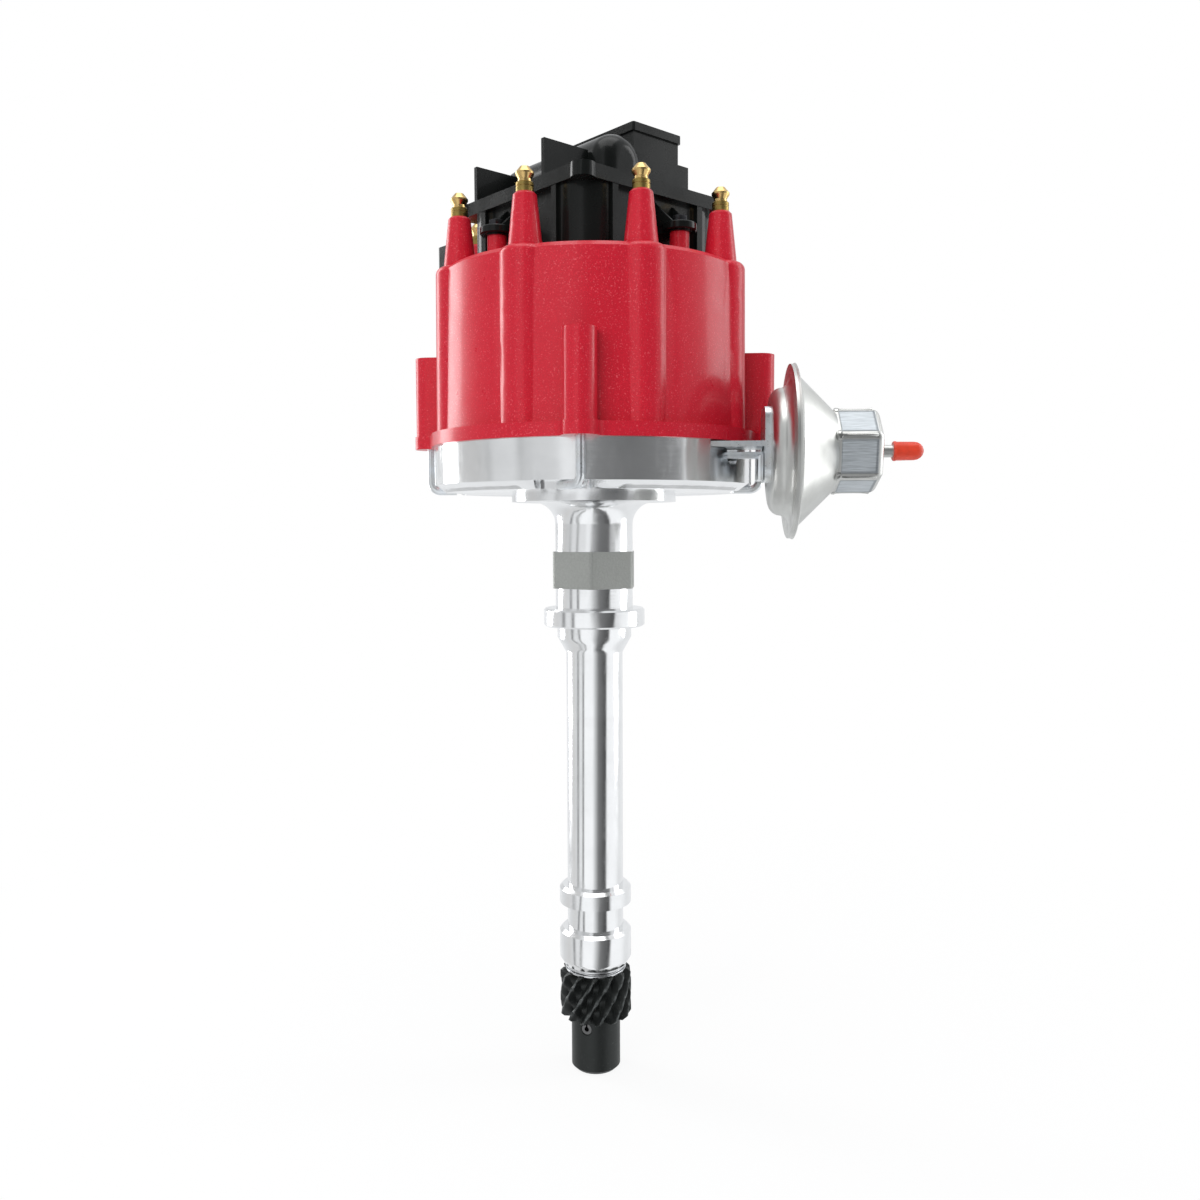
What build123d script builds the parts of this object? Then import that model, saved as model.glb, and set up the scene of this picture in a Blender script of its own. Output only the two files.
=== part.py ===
from build123d import *
import os
from math import atan2, cos, degrees, hypot, radians, sin, sqrt

os.makedirs("parts", exist_ok=True)

# An ignition distributor with its coil in the cap. The shaft stands along Z and Z = 0 is the
# underside of the hold-down collar. The front is -Y and the vacuum canister points along +X.
# Sizes are millimetres, and heights called *_z are measured from the collar's underside.

# ---- Driving dimensions ----

# Clearances
running_clearance = 0.05
moving_gap = 0.3

# Stem of the housing, from the foot up
shaft_radius = 6.24
bushing_wall = 2.3
gallery_radius = 7.4
nose_radius = 14.3
nose_height = 3.2
band_radius = 16.2
band_edge = 1.4
lower_band_height = 13.4
groove_radius = 12.6
groove_height = 11.7
upper_band_height = 8.0
tube_radius = 12.6
stem_length = 154.0
spigot_radius = 16.5
spigot_height = 5.0
spigot_taper = 7.0
collar_radius = 22.5
collar_height = 8.0
collar_edge = 0.8
neck_radius = 17.2
lower_neck_height = 9.0
hexagon_height = 16.2
hexagon_flat_radius = 17.5
hexagon_corner_radius = 19.7
upper_neck_height = 11.8
flare_radius = 10.0
lower_bushing_length = 26.0
upper_bushing_length = 32.0

# Bowl of the housing
pad_radius = 36.3
pad_thickness = 3.9
bowl_radius = 69.3
bowl_wall = 4.3
bowl_bevel = 4.3
bowl_bevel_height = 3.1
bowl_floor = 7.1
bowl_height = 19.6
hub_radius = 15.0
hub_height = 10.0

# Cap
flange_overhang = 1.7
flange_height = 5.6
cap_setback = 2.3
cap_draft = 1.2
cap_height = 74.0
cap_edge = 1.8
cap_wall = 5.0
cap_roof_gap = 3.2
cap_roof_thickness = 4.0
plug_count = 8
plug_inset = 8.0
column_radius = 10.6
column_top_radius = 10.2
column_shoulder = 3.0
tower_base_radius = 6.7
tower_top_radius = 4.7
tower_height = 21.0
tower_base_fillet = 1.5
tower_edge = 0.9
plinth_height = 2.2

# Plug terminals
terminal_pin_radius = 1.8
terminal_collar_radius = 3.3
terminal_collar_height = 3.2
terminal_neck_radius = 2.6
terminal_barb_radius = 3.7
terminal_tip_radius = 1.85
terminal_height = 9.9
electrode_width = 5.0
electrode_depth = 3.4
electrode_overlap = 4.0
rotor_air_gap = 0.8

# Latches
latch_count = 4
latch_stand_off = 3.5
latch_tower_radius = 6.4
latch_ear = 0.6
latch_tower_height = 40.0
latch_bore_radius = 4.4
latch_rod_radius = 1.75
latch_foot_reach = 11.0
latch_foot_bend = 4.0
latch_foot_gap = 0.25
latch_pocket_width = 23.5
latch_pocket_offset = 6.7
latch_pocket_depth = 3.2
latch_head_radius = 3.9
latch_head_height = 2.6
latch_head_recess = 2.5
front_latch_turn = 52.0
latch_spring_wire = 0.45

# Coil cover, measured from its middle along its own sides
cover_half_width = 40.0
cover_drum_radius = 13.9
cover_wall_setback = 1.4
cover_inner_corner = 5.0
cover_skirt_height = 24.3
cover_lip_half_width = 41.7
cover_lip_height = 5.5
cover_lip_corner = 4.0
cover_wall = 2.4
corner_barrel_radius = 4.9
corner_barrel_offset = 37.9
pilaster_width = 3.0
pilaster_proud = 1.4
pilaster_offset = 24.0
ear_offset = 47.7
ear_side = 5.4
ear_radius = 5.0
ear_thickness = 3.4
cover_screw_radius = 1.6
cover_screw_head_height = 2.4
cover_screw_depth = 7.7
post_radius = 4.0
post_height = 11.0
fin_positions = (-17.0, 29.7)
fin_thickness = 2.0
fin_length = 23.0
fin_height = 14.5
hump_near = -28.0
hump_nose_round = 8.0
hump_far = 40.0
hump_middle = -6.2
hump_half_width = 12.0
hump_height = 22.5
hood_left = 5.7
hood_right = 34.6
hood_near = -20.0
hood_far = 40.0
hood_height = 31.5
hood_slab = 3.5
hood_overhang = 1.0
hood_step = 2.2
hood_step_height = 17.8
wing_half_width = 24.0
wing_tower_gap = 1.9
wing_head_gap = 3.3
wing_head_depth = 22.5
wing_height = 20.5
wing_drop = 6.0
socket_width = 18.0
socket_depth = 11.0
socket_height = 14.0
blade_width = 6.3
blade_thickness = 0.8
blade_length = 9.0

# Coil inside the cap
coil_well_half_width = 37.0
coil_well_corner = 8.0
core_thickness = 16.0
core_lift = 1.0
core_length = 66.0
core_width = 58.0
core_leg = 8.0
core_yoke = 9.0
core_middle_leg = 16.0
winding_radius = 17.5
winding_foot_radius = 13.0
seal_thickness = 2.5
seal_radius = 16.0
coil_screw_radius = 2.2
coil_screw_head_radius = 4.0
coil_screw_head_height = 2.6
coil_screw_inset = 4.0
coil_screw_length = 12.0
cheek_thickness = 1.6
cheek_proud = 1.5
carbon_radius = 3.0
carbon_length = 9.5
carbon_spring_length = 6.0

# Advance mechanism on the shaft
upper_shaft_radius = 5.5
shoulder_gap = 0.2
trigger_hub_radius = 9.0
trigger_disc_radius = 14.0
trigger_tip_radius = 19.0
trigger_tooth_width = 3.0
trigger_height = 6.0
trigger_sleeve_height = 17.8
weight_plate_radius = 34.5
weight_plate_thickness = 2.2
weight_pivot_radius = 19.0
weight_pin_radius = 2.2
weight_thickness = 4.0
weight_inner_radius = 14.5
weight_outer_radius = 24.0
weight_sweep = 145.0
weight_boss_radius = 4.2
weight_toe_radius = 1.4
weight_toe = (13.0, -4.9)
cam_half_length = 13.5
cam_half_width = 4.0
cam_body_radius = 8.0
clip_radius = 8.6
clip_thickness = 0.9
spring_post_radius = 11.0
spring_post_angle = 100.0
advance_spring_radius = 1.3
advance_spring_wire = 0.3

# Pickup around the hub
pickup_plate_radius = 28.0
pickup_plate_thickness = 2.5
pickup_floor_gap = 1.0
pickup_magnet_height = 4.0
pickup_coil_height = 6.5
pickup_inner_radius = 16.5
pickup_outer_radius = 27.0
pole_ring_wall = 4.6
pickup_air_gap = 0.6
pole_height = 9.0
pole_disc_thickness = 1.6

# Rotor
rotor_skirt_wall = 1.8
rotor_skirt_height = 8.6
rotor_roof = 2.5
rotor_arm_width = 22.0
rotor_arm_length = 51.0
rotor_tail_length = 37.0
rotor_arm_height = 4.6
blade_strip_width = 8.0
blade_strip_thickness = 0.9
contact_thickness = 0.5
contact_width = 6.0
rotor_screw_circle = 30.2
rotor_screw_angle = -14.0
rotor_screw_boss = 3.1
rotor_screw_radius = 1.5

# Drive end
gear_teeth = 13
gear_tip_radius = 16.1
gear_root_radius = 12.4
gear_root_share = 0.30
gear_tip_share = 0.10
gear_height = 21.5
gear_twist = 52.0
gear_end_chamfer = 1.3
gear_tail_radius = 11.1
gear_tail_length = 24.7
gear_tail_edge = 1.6
gear_tail_lap = 0.5
pin_radius = 2.38
pin_hole_radius = 2.65
pin_bore_radius = 1.1
pin_slit = 0.8
pin_end_inset = 0.4
pin_below_gear = 3.6
pin_angle = -19.0
washer_radius = 14.0
washer_thicknesses = (1.0, 0.8, 0.9)
washer_gap = 0.1
slot_width = 4.9
slot_depth = 8.0
shaft_recess = 1.0

# Vacuum canister, with its axis along X
canister_y = -36.0
canister_z = 74.0
canister_stand_off = 4.5
canister_rim_radius = 35.0
dish_radius = 25.7
dish_depth = 8.8
dish_shoulder = 4.8
dish_flare = 3.4
shell_wall = 1.1
rim_fold = 1.2
cone_end_radius = 16.7
cone_length = 15.0
hexagon_end_radius = 17.4
hexagon_end_length = 18.8
hexagon_end_turn = 18.9
hexagon_end_corner = 4.0
hexagon_end_round = 3.6
hexagon_end_wall = 1.4
nipple_radius = 2.5
nipple_length = 12.7
nipple_shown = 5.7
rubber_cap_radius = 4.0
rubber_cap_length = 12.3
diaphragm_thickness = 0.8

# Canister bracket and pull rod
foot_thickness = 2.2
foot_end_overhang = 6.0
foot_front_y = -47.0
foot_rear_y = -25.0
foot_gap = 0.6
upright_thickness = 2.4
upright_half_height = 15.0
rod_drop = 1.7
rod_width = 6.0
rod_thickness = 2.6
rod_end_x = 0.0
rod_hole_clearance = 0.5
rod_slot_half_width = 3.8
rod_groove_width = 1.6
rod_groove_end = 12.0
drag_pin_radius = 2.0
bracket_boss_inset = 3.1
bracket_boss_wall_gap = 10.9
bracket_boss_radius = 3.6
bracket_screw_radius = 1.7
bracket_screw_head = 3.0
window_margin = 1.2

# Electronics in the bowl
module_length = 56.0
module_wall_gap = 1.7
module_pickup_gap = 3.0
module_ear_length = 10.0
module_base_share = 0.35
module_height = 11.0
capacitor_radius = 7.0
capacitor_length = 24.0
grommet_width = 15.0
grommet_height = 10.5
grommet_angle = 135.0

# ---- Heights and radii that follow ----

bushing_radius = shaft_radius + running_clearance + bushing_wall
foot_z = -stem_length
lower_band_top = foot_z + nose_height + lower_band_height
upper_band_bottom = lower_band_top + groove_height
upper_band_top = upper_band_bottom + upper_band_height
hexagon_z = collar_height + lower_neck_height
neck_top = hexagon_z + hexagon_height + upper_neck_height
pad_z = neck_top + flare_radius
bowl_z = pad_z + pad_thickness
floor_z = bowl_z + bowl_floor
rim_z = bowl_z + bowl_height
hub_z = floor_z + hub_height
bowl_inner_radius = bowl_radius - bowl_wall
flange_radius = bowl_radius + flange_overhang
cap_radius = bowl_radius - cap_setback
cap_top_radius = cap_radius - cap_draft
cap_inner_radius = cap_radius - cap_wall
plug_circle = cap_radius - plug_inset
latch_circle = bowl_radius + latch_stand_off
canister_back_x = bowl_radius + canister_stand_off

flange_top = rim_z + flange_height
cap_top = rim_z + cap_height
tower_top = cap_top + tower_height
cover_z = cap_top + plinth_height
skirt_top = cover_z + cover_skirt_height
lip_top = skirt_top + cover_lip_height
post_top = cap_top + post_height
latch_tower_top = rim_z + latch_tower_height
pocket_roof = bowl_z + latch_pocket_depth
latch_foot_z = pocket_roof - latch_foot_gap - latch_rod_radius
latch_head_z = latch_tower_top - latch_head_recess - latch_head_height

sleeve_z = hub_z + 1.0 + shoulder_gap
shoulder_z = hub_z + 1.0
weight_plate_z = sleeve_z + trigger_sleeve_height
weight_z = weight_plate_z + weight_plate_thickness + shoulder_gap
weight_top = weight_z + weight_thickness
clip_top = weight_top + clip_thickness
spring_axis_z = clip_top + advance_spring_radius + 0.3
pickup_z = floor_z + pickup_floor_gap
magnet_z = pickup_z + pickup_plate_thickness
pickup_coil_z = magnet_z + pickup_magnet_height
pole_z = pickup_coil_z + pickup_coil_height
trigger_z = pole_z + pole_disc_thickness + 1.0
rotor_z = weight_plate_z + weight_plate_thickness
rotor_roof_z = rotor_z + rotor_skirt_height
arm_z = rotor_roof_z + rotor_roof
blade_z = arm_z + rotor_arm_height
contact_top = blade_z + blade_strip_thickness + 7.0
carbon_z = contact_top + 0.1
carbon_top = carbon_z + carbon_length
electrode_radius = plug_circle - terminal_pin_radius + 0.4
rotor_tip_radius = electrode_radius - rotor_air_gap
cap_roof_z = contact_top + cap_roof_gap
well_floor = cap_roof_z + cap_roof_thickness
electrode_bottom = blade_z - electrode_overlap
pole_ring_inner_radius = pickup_outer_radius - pole_ring_wall
pole_tooth_radius = trigger_tip_radius + pickup_air_gap
core_bottom = cover_z + core_lift
core_middle_z = core_bottom + core_thickness / 2
wing_top = lip_top - wing_drop
wing_bottom = wing_top - wing_height
wing_tower_angle = radians(180 / plug_count)
wing_neck_half_width = plug_circle * sin(wing_tower_angle) - tower_base_radius - wing_tower_gap
wing_head_y = plug_circle * cos(wing_tower_angle) + tower_base_radius + wing_head_gap
wing_reach = wing_head_y + wing_head_depth

gear_top = foot_z - washer_gap - sum(washer_thicknesses) - 0.2
gear_bottom = gear_top - gear_height
tail_bottom = gear_bottom - gear_tail_length
pin_z = gear_bottom - pin_below_gear
shaft_bottom = tail_bottom + shaft_recess

foot_top_z = rim_z - foot_gap
foot_bottom_z = foot_top_z - foot_thickness
rod_z = foot_bottom_z - rod_drop - rod_thickness
rim_x = canister_back_x + dish_depth
cone_x = rim_x + rim_fold
hexagon_x = cone_x + cone_length
hexagon_end_x = hexagon_x + hexagon_end_length
nipple_end_x = hexagon_end_x + nipple_length
rubber_cap_x = hexagon_end_x + nipple_shown


def cover_plane(height):
    """Plane of the coil cover at a height: local X runs to the back right, local Y to the back left."""
    return Plane(origin=(0, 0, height), x_dir=(1, 1, 0), z_dir=(0, 0, 1))


def turned_plane(height, angle):
    """Horizontal plane with its local X turned by an angle from +X."""
    return Plane(origin=(0, 0, height), x_dir=(cos(radians(angle)), sin(radians(angle)), 0))


def canister_plane():
    """Upright plane through the canister's axis, with local Y up."""
    return Plane(origin=(0, canister_y, canister_z), x_dir=(1, 0, 0), z_dir=(0, -1, 0))


def across_plane(x):
    """Plane across the canister's axis at a place along X, local X along Y and local Y up."""
    return Plane(origin=(x, canister_y, canister_z), x_dir=(0, 1, 0), z_dir=(1, 0, 0))


def upright_plane(angle):
    """Upright plane through the shaft's axis, with local X outwards at an angle and local Y up."""
    out = (cos(radians(angle)), sin(radians(angle)), 0)
    return Plane(origin=(0, 0, 0), x_dir=out, z_dir=(out[1], -out[0], 0))


def cover_section(y):
    """Upright plane across the coil cover at a place along its local Y, with local Y up."""
    origin = cover_plane(0).from_local_coords(Vector(0, y, 0))
    return Plane(origin=origin, x_dir=(1, 1, 0), z_dir=(1, -1, 0))


bracket_boss_reach = max(abs(foot_front_y), abs(foot_rear_y)) - bracket_boss_inset
bracket_boss_x = sqrt(bowl_inner_radius**2 - bracket_boss_reach**2) - bracket_boss_wall_gap
foot_start_x = bracket_boss_x - foot_end_overhang
bracket_bosses = (
    (bracket_boss_x, foot_front_y + bracket_boss_inset),
    (bracket_boss_x, foot_rear_y - bracket_boss_inset),
)
canister_axis = Axis((0, canister_y, canister_z), (1, 0, 0))

# ---- Housing: one turned casting with the bowl on top ----

with BuildPart() as housing:
    with BuildSketch(Plane.XZ):
        with BuildLine():
            Polyline(
                (bushing_radius, foot_z + lower_bushing_length),
                (bushing_radius, foot_z),
                (nose_radius, foot_z),
                (band_radius, foot_z + nose_height),
                (band_radius, lower_band_top - band_edge),
                (band_radius - band_edge, lower_band_top),
                (groove_radius, lower_band_top),
                (groove_radius, upper_band_bottom),
                (band_radius, upper_band_bottom),
                (band_radius, upper_band_top - band_edge),
                (band_radius - band_edge, upper_band_top),
                (tube_radius, upper_band_top),
                (tube_radius, -spigot_height - spigot_taper),
                (spigot_radius, -spigot_height),
                (spigot_radius, 0),
                (collar_radius - collar_edge, 0),
                (collar_radius, collar_edge),
                (collar_radius, collar_height - collar_edge),
                (collar_radius - collar_edge, collar_height),
                (neck_radius, collar_height),
                (neck_radius, neck_top),
            )
            ThreePointArc(
                (neck_radius, neck_top),
                (
                    neck_radius + flare_radius * (1 - cos(radians(45))),
                    neck_top + flare_radius * sin(radians(45)),
                ),
                (neck_radius + flare_radius, pad_z),
            )
            Polyline(
                (neck_radius + flare_radius, pad_z),
                (pad_radius, pad_z),
                (pad_radius, bowl_z),
                (bowl_radius - bowl_bevel, bowl_z),
                (bowl_radius, bowl_z + bowl_bevel_height),
                (bowl_radius, rim_z),
                (bowl_inner_radius, rim_z),
                (bowl_inner_radius, floor_z),
                (hub_radius, floor_z),
                (hub_radius, hub_z),
                (bushing_radius, hub_z),
                (bushing_radius, hub_z - upper_bushing_length),
                (gallery_radius, hub_z - upper_bushing_length),
                (gallery_radius, foot_z + lower_bushing_length),
                (bushing_radius, foot_z + lower_bushing_length),
            )
        make_face()
    revolve(axis=Axis.Z)
    # The hexagon is left as cast, with its corners turned down
    with BuildSketch(Plane.XY.offset(hexagon_z)):
        RegularPolygon(hexagon_flat_radius, 6, major_radius=False, rotation=30)
        Circle(hexagon_corner_radius, mode=Mode.INTERSECT)
        Circle(neck_radius - 1, mode=Mode.SUBTRACT)
    extrude(amount=hexagon_height)
    # Pockets under the bowl that the latch feet turn into
    with BuildSketch(Plane.XY.offset(bowl_z - 1)):
        with PolarLocations(latch_circle, latch_count, start_angle=-90):
            with Locations((0, -latch_pocket_offset)):
                RectangleRounded(2 * (latch_foot_reach + latch_rod_radius), latch_pocket_width, 3.5)
    extrude(amount=latch_pocket_depth + 1, mode=Mode.SUBTRACT)
    # Window in the wall for the canister's foot, and the round-bottomed slot for its rod
    with BuildSketch(Plane.YZ.offset(foot_start_x)):
        with Locations(((foot_front_y + foot_rear_y) / 2, rim_z)):
            window_width = foot_rear_y - foot_front_y + 2 * window_margin
            Rectangle(window_width, 2 * (rim_z - foot_bottom_z + moving_gap))
    extrude(amount=bowl_radius - foot_start_x, mode=Mode.SUBTRACT)
    with BuildSketch(Plane.YZ.offset(foot_start_x)):
        with Locations((canister_y, rod_z + rod_thickness / 2)):
            Circle(rod_slot_half_width)
        with Locations((canister_y, rim_z)):
            Rectangle(2 * rod_slot_half_width, 2 * (rim_z - rod_z - rod_thickness / 2))
    extrude(amount=bowl_radius - foot_start_x, mode=Mode.SUBTRACT)
    # Notch for the harness grommet
    with BuildSketch(turned_plane(rim_z, grommet_angle)):
        with Locations((bowl_radius, 0)):
            Rectangle(4 * bowl_wall, grommet_width)
    extrude(amount=-grommet_height, mode=Mode.SUBTRACT)
    # Two bosses carry the foot
    with BuildSketch(Plane.XY.offset(floor_z)):
        with Locations(*bracket_bosses):
            Circle(bracket_boss_radius)
            Circle(bracket_screw_radius, mode=Mode.SUBTRACT)
    extrude(amount=foot_bottom_z - floor_z)
housing.part.label = "housing"
export_step(housing.part, "parts/housing.step")

# ---- Bushings and seal ----

with BuildPart() as lower_bushing:
    with BuildSketch(Plane.XY.offset(foot_z)):
        Circle(bushing_radius)
        Circle(shaft_radius + running_clearance, mode=Mode.SUBTRACT)
    extrude(amount=lower_bushing_length)
lower_bushing.part.label = "lower_bushing"
export_step(lower_bushing.part, "parts/lower_bushing.step")

with BuildPart() as upper_bushing:
    with BuildSketch(Plane.XY.offset(hub_z)):
        Circle(bushing_radius)
        Circle(shaft_radius + running_clearance, mode=Mode.SUBTRACT)
    extrude(amount=-upper_bushing_length)
upper_bushing.part.label = "upper_bushing"
export_step(upper_bushing.part, "parts/upper_bushing.step")

# ---- Main shaft and what is fixed to it ----

pin_direction = (sin(radians(pin_angle)), -cos(radians(pin_angle)), 0)
pin_plane = Plane(origin=(0, 0, pin_z), x_dir=(0, 0, 1), z_dir=pin_direction)

with BuildPart() as main_shaft:
    with BuildSketch(Plane.XY.offset(shaft_bottom)):
        Circle(shaft_radius)
    extrude(amount=shoulder_z - shaft_bottom)
    with BuildSketch(Plane.XY.offset(shoulder_z)):
        Circle(upper_shaft_radius)
    extrude(amount=clip_top - shoulder_z)
    chamfer(main_shaft.faces().sort_by(Axis.Z)[-1].edges(), 0.6)
    # Slot in the foot for the oil pump's drive blade
    with BuildSketch(Plane.XY.offset(shaft_bottom)):
        Rectangle(3 * shaft_radius, slot_width)
    extrude(amount=slot_depth, mode=Mode.SUBTRACT)
    with BuildSketch(pin_plane):
        Circle(pin_radius)
    extrude(amount=2 * shaft_radius, both=True, mode=Mode.SUBTRACT)
main_shaft.part.label = "main_shaft"
export_step(main_shaft.part, "parts/main_shaft.step")

with BuildPart() as thrust_washers:
    washer_z = foot_z - washer_gap
    for washer_thickness in washer_thicknesses:
        with BuildSketch(Plane.XY.offset(washer_z)):
            Circle(washer_radius)
            Circle(shaft_radius + running_clearance, mode=Mode.SUBTRACT)
        extrude(amount=-washer_thickness)
        washer_z -= washer_thickness + running_clearance
thrust_washers.part.label = "thrust_washers"
export_step(thrust_washers.part, "parts/thrust_washers.step")


def gear_section(plane):
    """Outline of the toothed rim across the shaft, drawn on a plane that carries its turn."""
    pitch = 360 / gear_teeth
    flank = ((gear_root_radius, gear_root_share), (gear_tip_radius, gear_tip_share))
    corners = []
    for tooth in range(gear_teeth):
        for radius, share in flank:
            angle = radians(pitch * (tooth - share))
            corners.append((radius * cos(angle), radius * sin(angle)))
        for radius, share in reversed(flank):
            angle = radians(pitch * (tooth + share))
            corners.append((radius * cos(angle), radius * sin(angle)))
    with BuildSketch(plane) as section:
        with BuildLine():
            Polyline(*corners, close=True)
        make_face()
    return section.sketch.face()


gear_steps = 4
gear_shares = [step / gear_steps for step in range(gear_steps + 1)]
gear_sections = [
    gear_section(turned_plane(gear_bottom + share * gear_height, share * gear_twist))
    for share in gear_shares
]

with BuildPart() as drive_gear:
    loft(gear_sections)
    # The turned blank chamfers both ends of the teeth
    with BuildSketch(Plane.XZ):
        with BuildLine():
            Polyline(
                (0, gear_bottom),
                (gear_tip_radius - gear_end_chamfer, gear_bottom),
                (gear_tip_radius + 0.1, gear_bottom + gear_end_chamfer),
                (gear_tip_radius + 0.1, gear_top - gear_end_chamfer),
                (gear_tip_radius - gear_end_chamfer, gear_top),
                (0, gear_top),
                close=True,
            )
        make_face()
    revolve(axis=Axis.Z, mode=Mode.INTERSECT)
    with BuildSketch(Plane.XZ):
        with BuildLine():
            Polyline(
                (0, tail_bottom),
                (gear_tail_radius - gear_tail_edge, tail_bottom),
                (gear_tail_radius, tail_bottom + gear_tail_edge),
                (gear_tail_radius, gear_bottom + gear_tail_lap),
                (0, gear_bottom + gear_tail_lap),
                close=True,
            )
        make_face()
    revolve(axis=Axis.Z)
    with BuildSketch(Plane.XY.offset(tail_bottom)):
        Circle(shaft_radius)
    extrude(amount=gear_top - tail_bottom, mode=Mode.SUBTRACT)
    with BuildSketch(pin_plane):
        Circle(pin_hole_radius)
    extrude(amount=2 * gear_tail_radius, both=True, mode=Mode.SUBTRACT)
drive_gear.part.label = "drive_gear"
export_step(drive_gear.part, "parts/drive_gear.step")

with BuildPart() as roll_pin:
    with BuildSketch(pin_plane):
        Circle(pin_radius)
        Circle(pin_bore_radius, mode=Mode.SUBTRACT)
        with Locations((pin_radius, 0)):
            Rectangle(2 * pin_radius, pin_slit, mode=Mode.SUBTRACT)
    extrude(amount=gear_tail_radius - pin_end_inset, both=True)
roll_pin.part.label = "roll_pin"
export_step(roll_pin.part, "parts/roll_pin.step")

with BuildPart() as advance_cam:
    with BuildSketch(Plane.XY.offset(weight_z)):
        Circle(cam_body_radius)
        SlotOverall(2 * cam_half_length, 2 * cam_half_width)
        Circle(upper_shaft_radius, mode=Mode.SUBTRACT)
    extrude(amount=weight_thickness)
advance_cam.part.label = "advance_cam"
export_step(advance_cam.part, "parts/advance_cam.step")

# The retainer holds the cam down and carries the posts of the advance springs
spring_posts = [
    (
        spring_post_radius * cos(radians(spring_post_angle + turn)),
        spring_post_radius * sin(radians(spring_post_angle + turn)),
    )
    for turn in (0, 180)
]

with BuildPart() as cam_retainer:
    with BuildSketch(turned_plane(weight_top, spring_post_angle)):
        Circle(clip_radius)
        SlotOverall(2 * spring_post_radius + 4, 4)
        Circle(upper_shaft_radius, mode=Mode.SUBTRACT)
    extrude(amount=clip_thickness)
    with BuildSketch(Plane.XY.offset(clip_top)):
        with Locations(*spring_posts):
            Circle(0.8)
    extrude(amount=2 * advance_spring_radius)
cam_retainer.part.label = "cam_retainer"
export_step(cam_retainer.part, "parts/cam_retainer.step")

# ---- Advance plate with the trigger wheel, the weights and their springs ----

with BuildPart() as trigger_wheel:
    with BuildSketch(Plane.XY.offset(sleeve_z)):
        Circle(trigger_hub_radius)
        Circle(upper_shaft_radius + running_clearance, mode=Mode.SUBTRACT)
    extrude(amount=trigger_sleeve_height)
    with BuildSketch(Plane.XY.offset(trigger_z)):
        Circle(trigger_disc_radius)
        with PolarLocations((trigger_disc_radius + trigger_tip_radius) / 2 - 1, plug_count):
            Rectangle(trigger_tip_radius - trigger_disc_radius + 2, trigger_tooth_width)
        Circle(trigger_hub_radius - 0.5, mode=Mode.SUBTRACT)
        Circle(trigger_tip_radius, mode=Mode.INTERSECT)
    extrude(amount=trigger_height)
trigger_wheel.part.label = "trigger_wheel"
export_step(trigger_wheel.part, "parts/trigger_wheel.step")

pivots = [(weight_pivot_radius, 0), (-weight_pivot_radius, 0)]
rotor_screw_spots = [
    (
        rotor_screw_circle * cos(radians(rotor_screw_angle + turn)),
        rotor_screw_circle * sin(radians(rotor_screw_angle + turn)),
    )
    for turn in (0, 180)
]

with BuildPart() as weight_plate:
    with BuildSketch(Plane.XY.offset(weight_plate_z)):
        Circle(weight_plate_radius)
        Circle(upper_shaft_radius + running_clearance, mode=Mode.SUBTRACT)
        with Locations(*rotor_screw_spots):
            Circle(rotor_screw_radius, mode=Mode.SUBTRACT)
    extrude(amount=weight_plate_thickness)
    with BuildSketch(Plane.XY.offset(weight_plate_z + weight_plate_thickness)):
        with Locations(*pivots):
            Circle(weight_pin_radius)
    extrude(amount=weight_top + 0.4 - weight_plate_z - weight_plate_thickness)
    with BuildSketch(Plane.XY.offset(weight_top + 0.4)):
        with Locations(*pivots):
            Circle(0.8)
    extrude(amount=spring_axis_z + advance_spring_radius - weight_top - 0.4)
weight_plate.part.label = "weight_plate"
export_step(weight_plate.part, "parts/weight_plate.step")

toe_run = (weight_toe[0] - weight_pivot_radius, weight_toe[1])
toe_length = hypot(*toe_run)
toe_turn = degrees(atan2(toe_run[1], toe_run[0]))
toe_middle = (weight_pivot_radius + toe_run[0] / 2, toe_run[1] / 2, 0)

for number, turn in ((1, 0), (2, 180)):
    weight_plane = turned_plane(weight_z, turn)
    with BuildPart() as advance_weight:
        # A crescent behind the pivot, a boss round it, and a toe that bears on the cam
        with BuildSketch(weight_plane):
            with BuildLine():
                outer = CenterArc((0, 0), weight_outer_radius, 6, weight_sweep - 6)
                inner = CenterArc((0, 0), weight_inner_radius, 6, weight_sweep - 6)
                Line(outer @ 0, inner @ 0)
                Line(outer @ 1, inner @ 1)
            make_face()
            with Locations((weight_pivot_radius, 0)):
                Circle(weight_boss_radius)
            with Locations(Location(toe_middle, (0, 0, toe_turn))):
                SlotCenterToCenter(toe_length, 2 * weight_toe_radius)
            with Locations((weight_pivot_radius, 0)):
                Circle(weight_pin_radius + running_clearance, mode=Mode.SUBTRACT)
        extrude(amount=weight_thickness)
    advance_weight.part.label = f"advance_weight_{number}"
    export_step(advance_weight.part, f"parts/advance_weight_{number}.step")


def coil_spring(start, direction, radius, wire, length, turns):
    """Close-wound wire of a helical spring, with its axis from a start point along a direction."""
    plane = Plane(origin=start, z_dir=direction)
    helix = Helix(pitch=(length - wire * 2) / turns, height=length - wire * 2, radius=radius)
    path = plane.offset(wire).location * helix
    with BuildSketch(Plane(origin=path @ 0, z_dir=path % 0)) as wire_section:
        RegularPolygon(wire, 6)
    return sweep(wire_section.sketch, path=path, is_frenet=True, mode=Mode.PRIVATE)


with BuildPart() as advance_springs:
    for pivot, post in zip(pivots, spring_posts):
        span = hypot(post[0] - pivot[0], post[1] - pivot[1])
        run = ((post[0] - pivot[0]) / span, (post[1] - pivot[1]) / span, 0)
        start = (pivot[0] + 1.2 * run[0], pivot[1] + 1.2 * run[1], spring_axis_z)
        add(coil_spring(start, run, advance_spring_radius, advance_spring_wire, span - 2.4, 7))
advance_springs.part.label = "advance_springs"
export_step(advance_springs.part, "parts/advance_springs.step")

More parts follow.
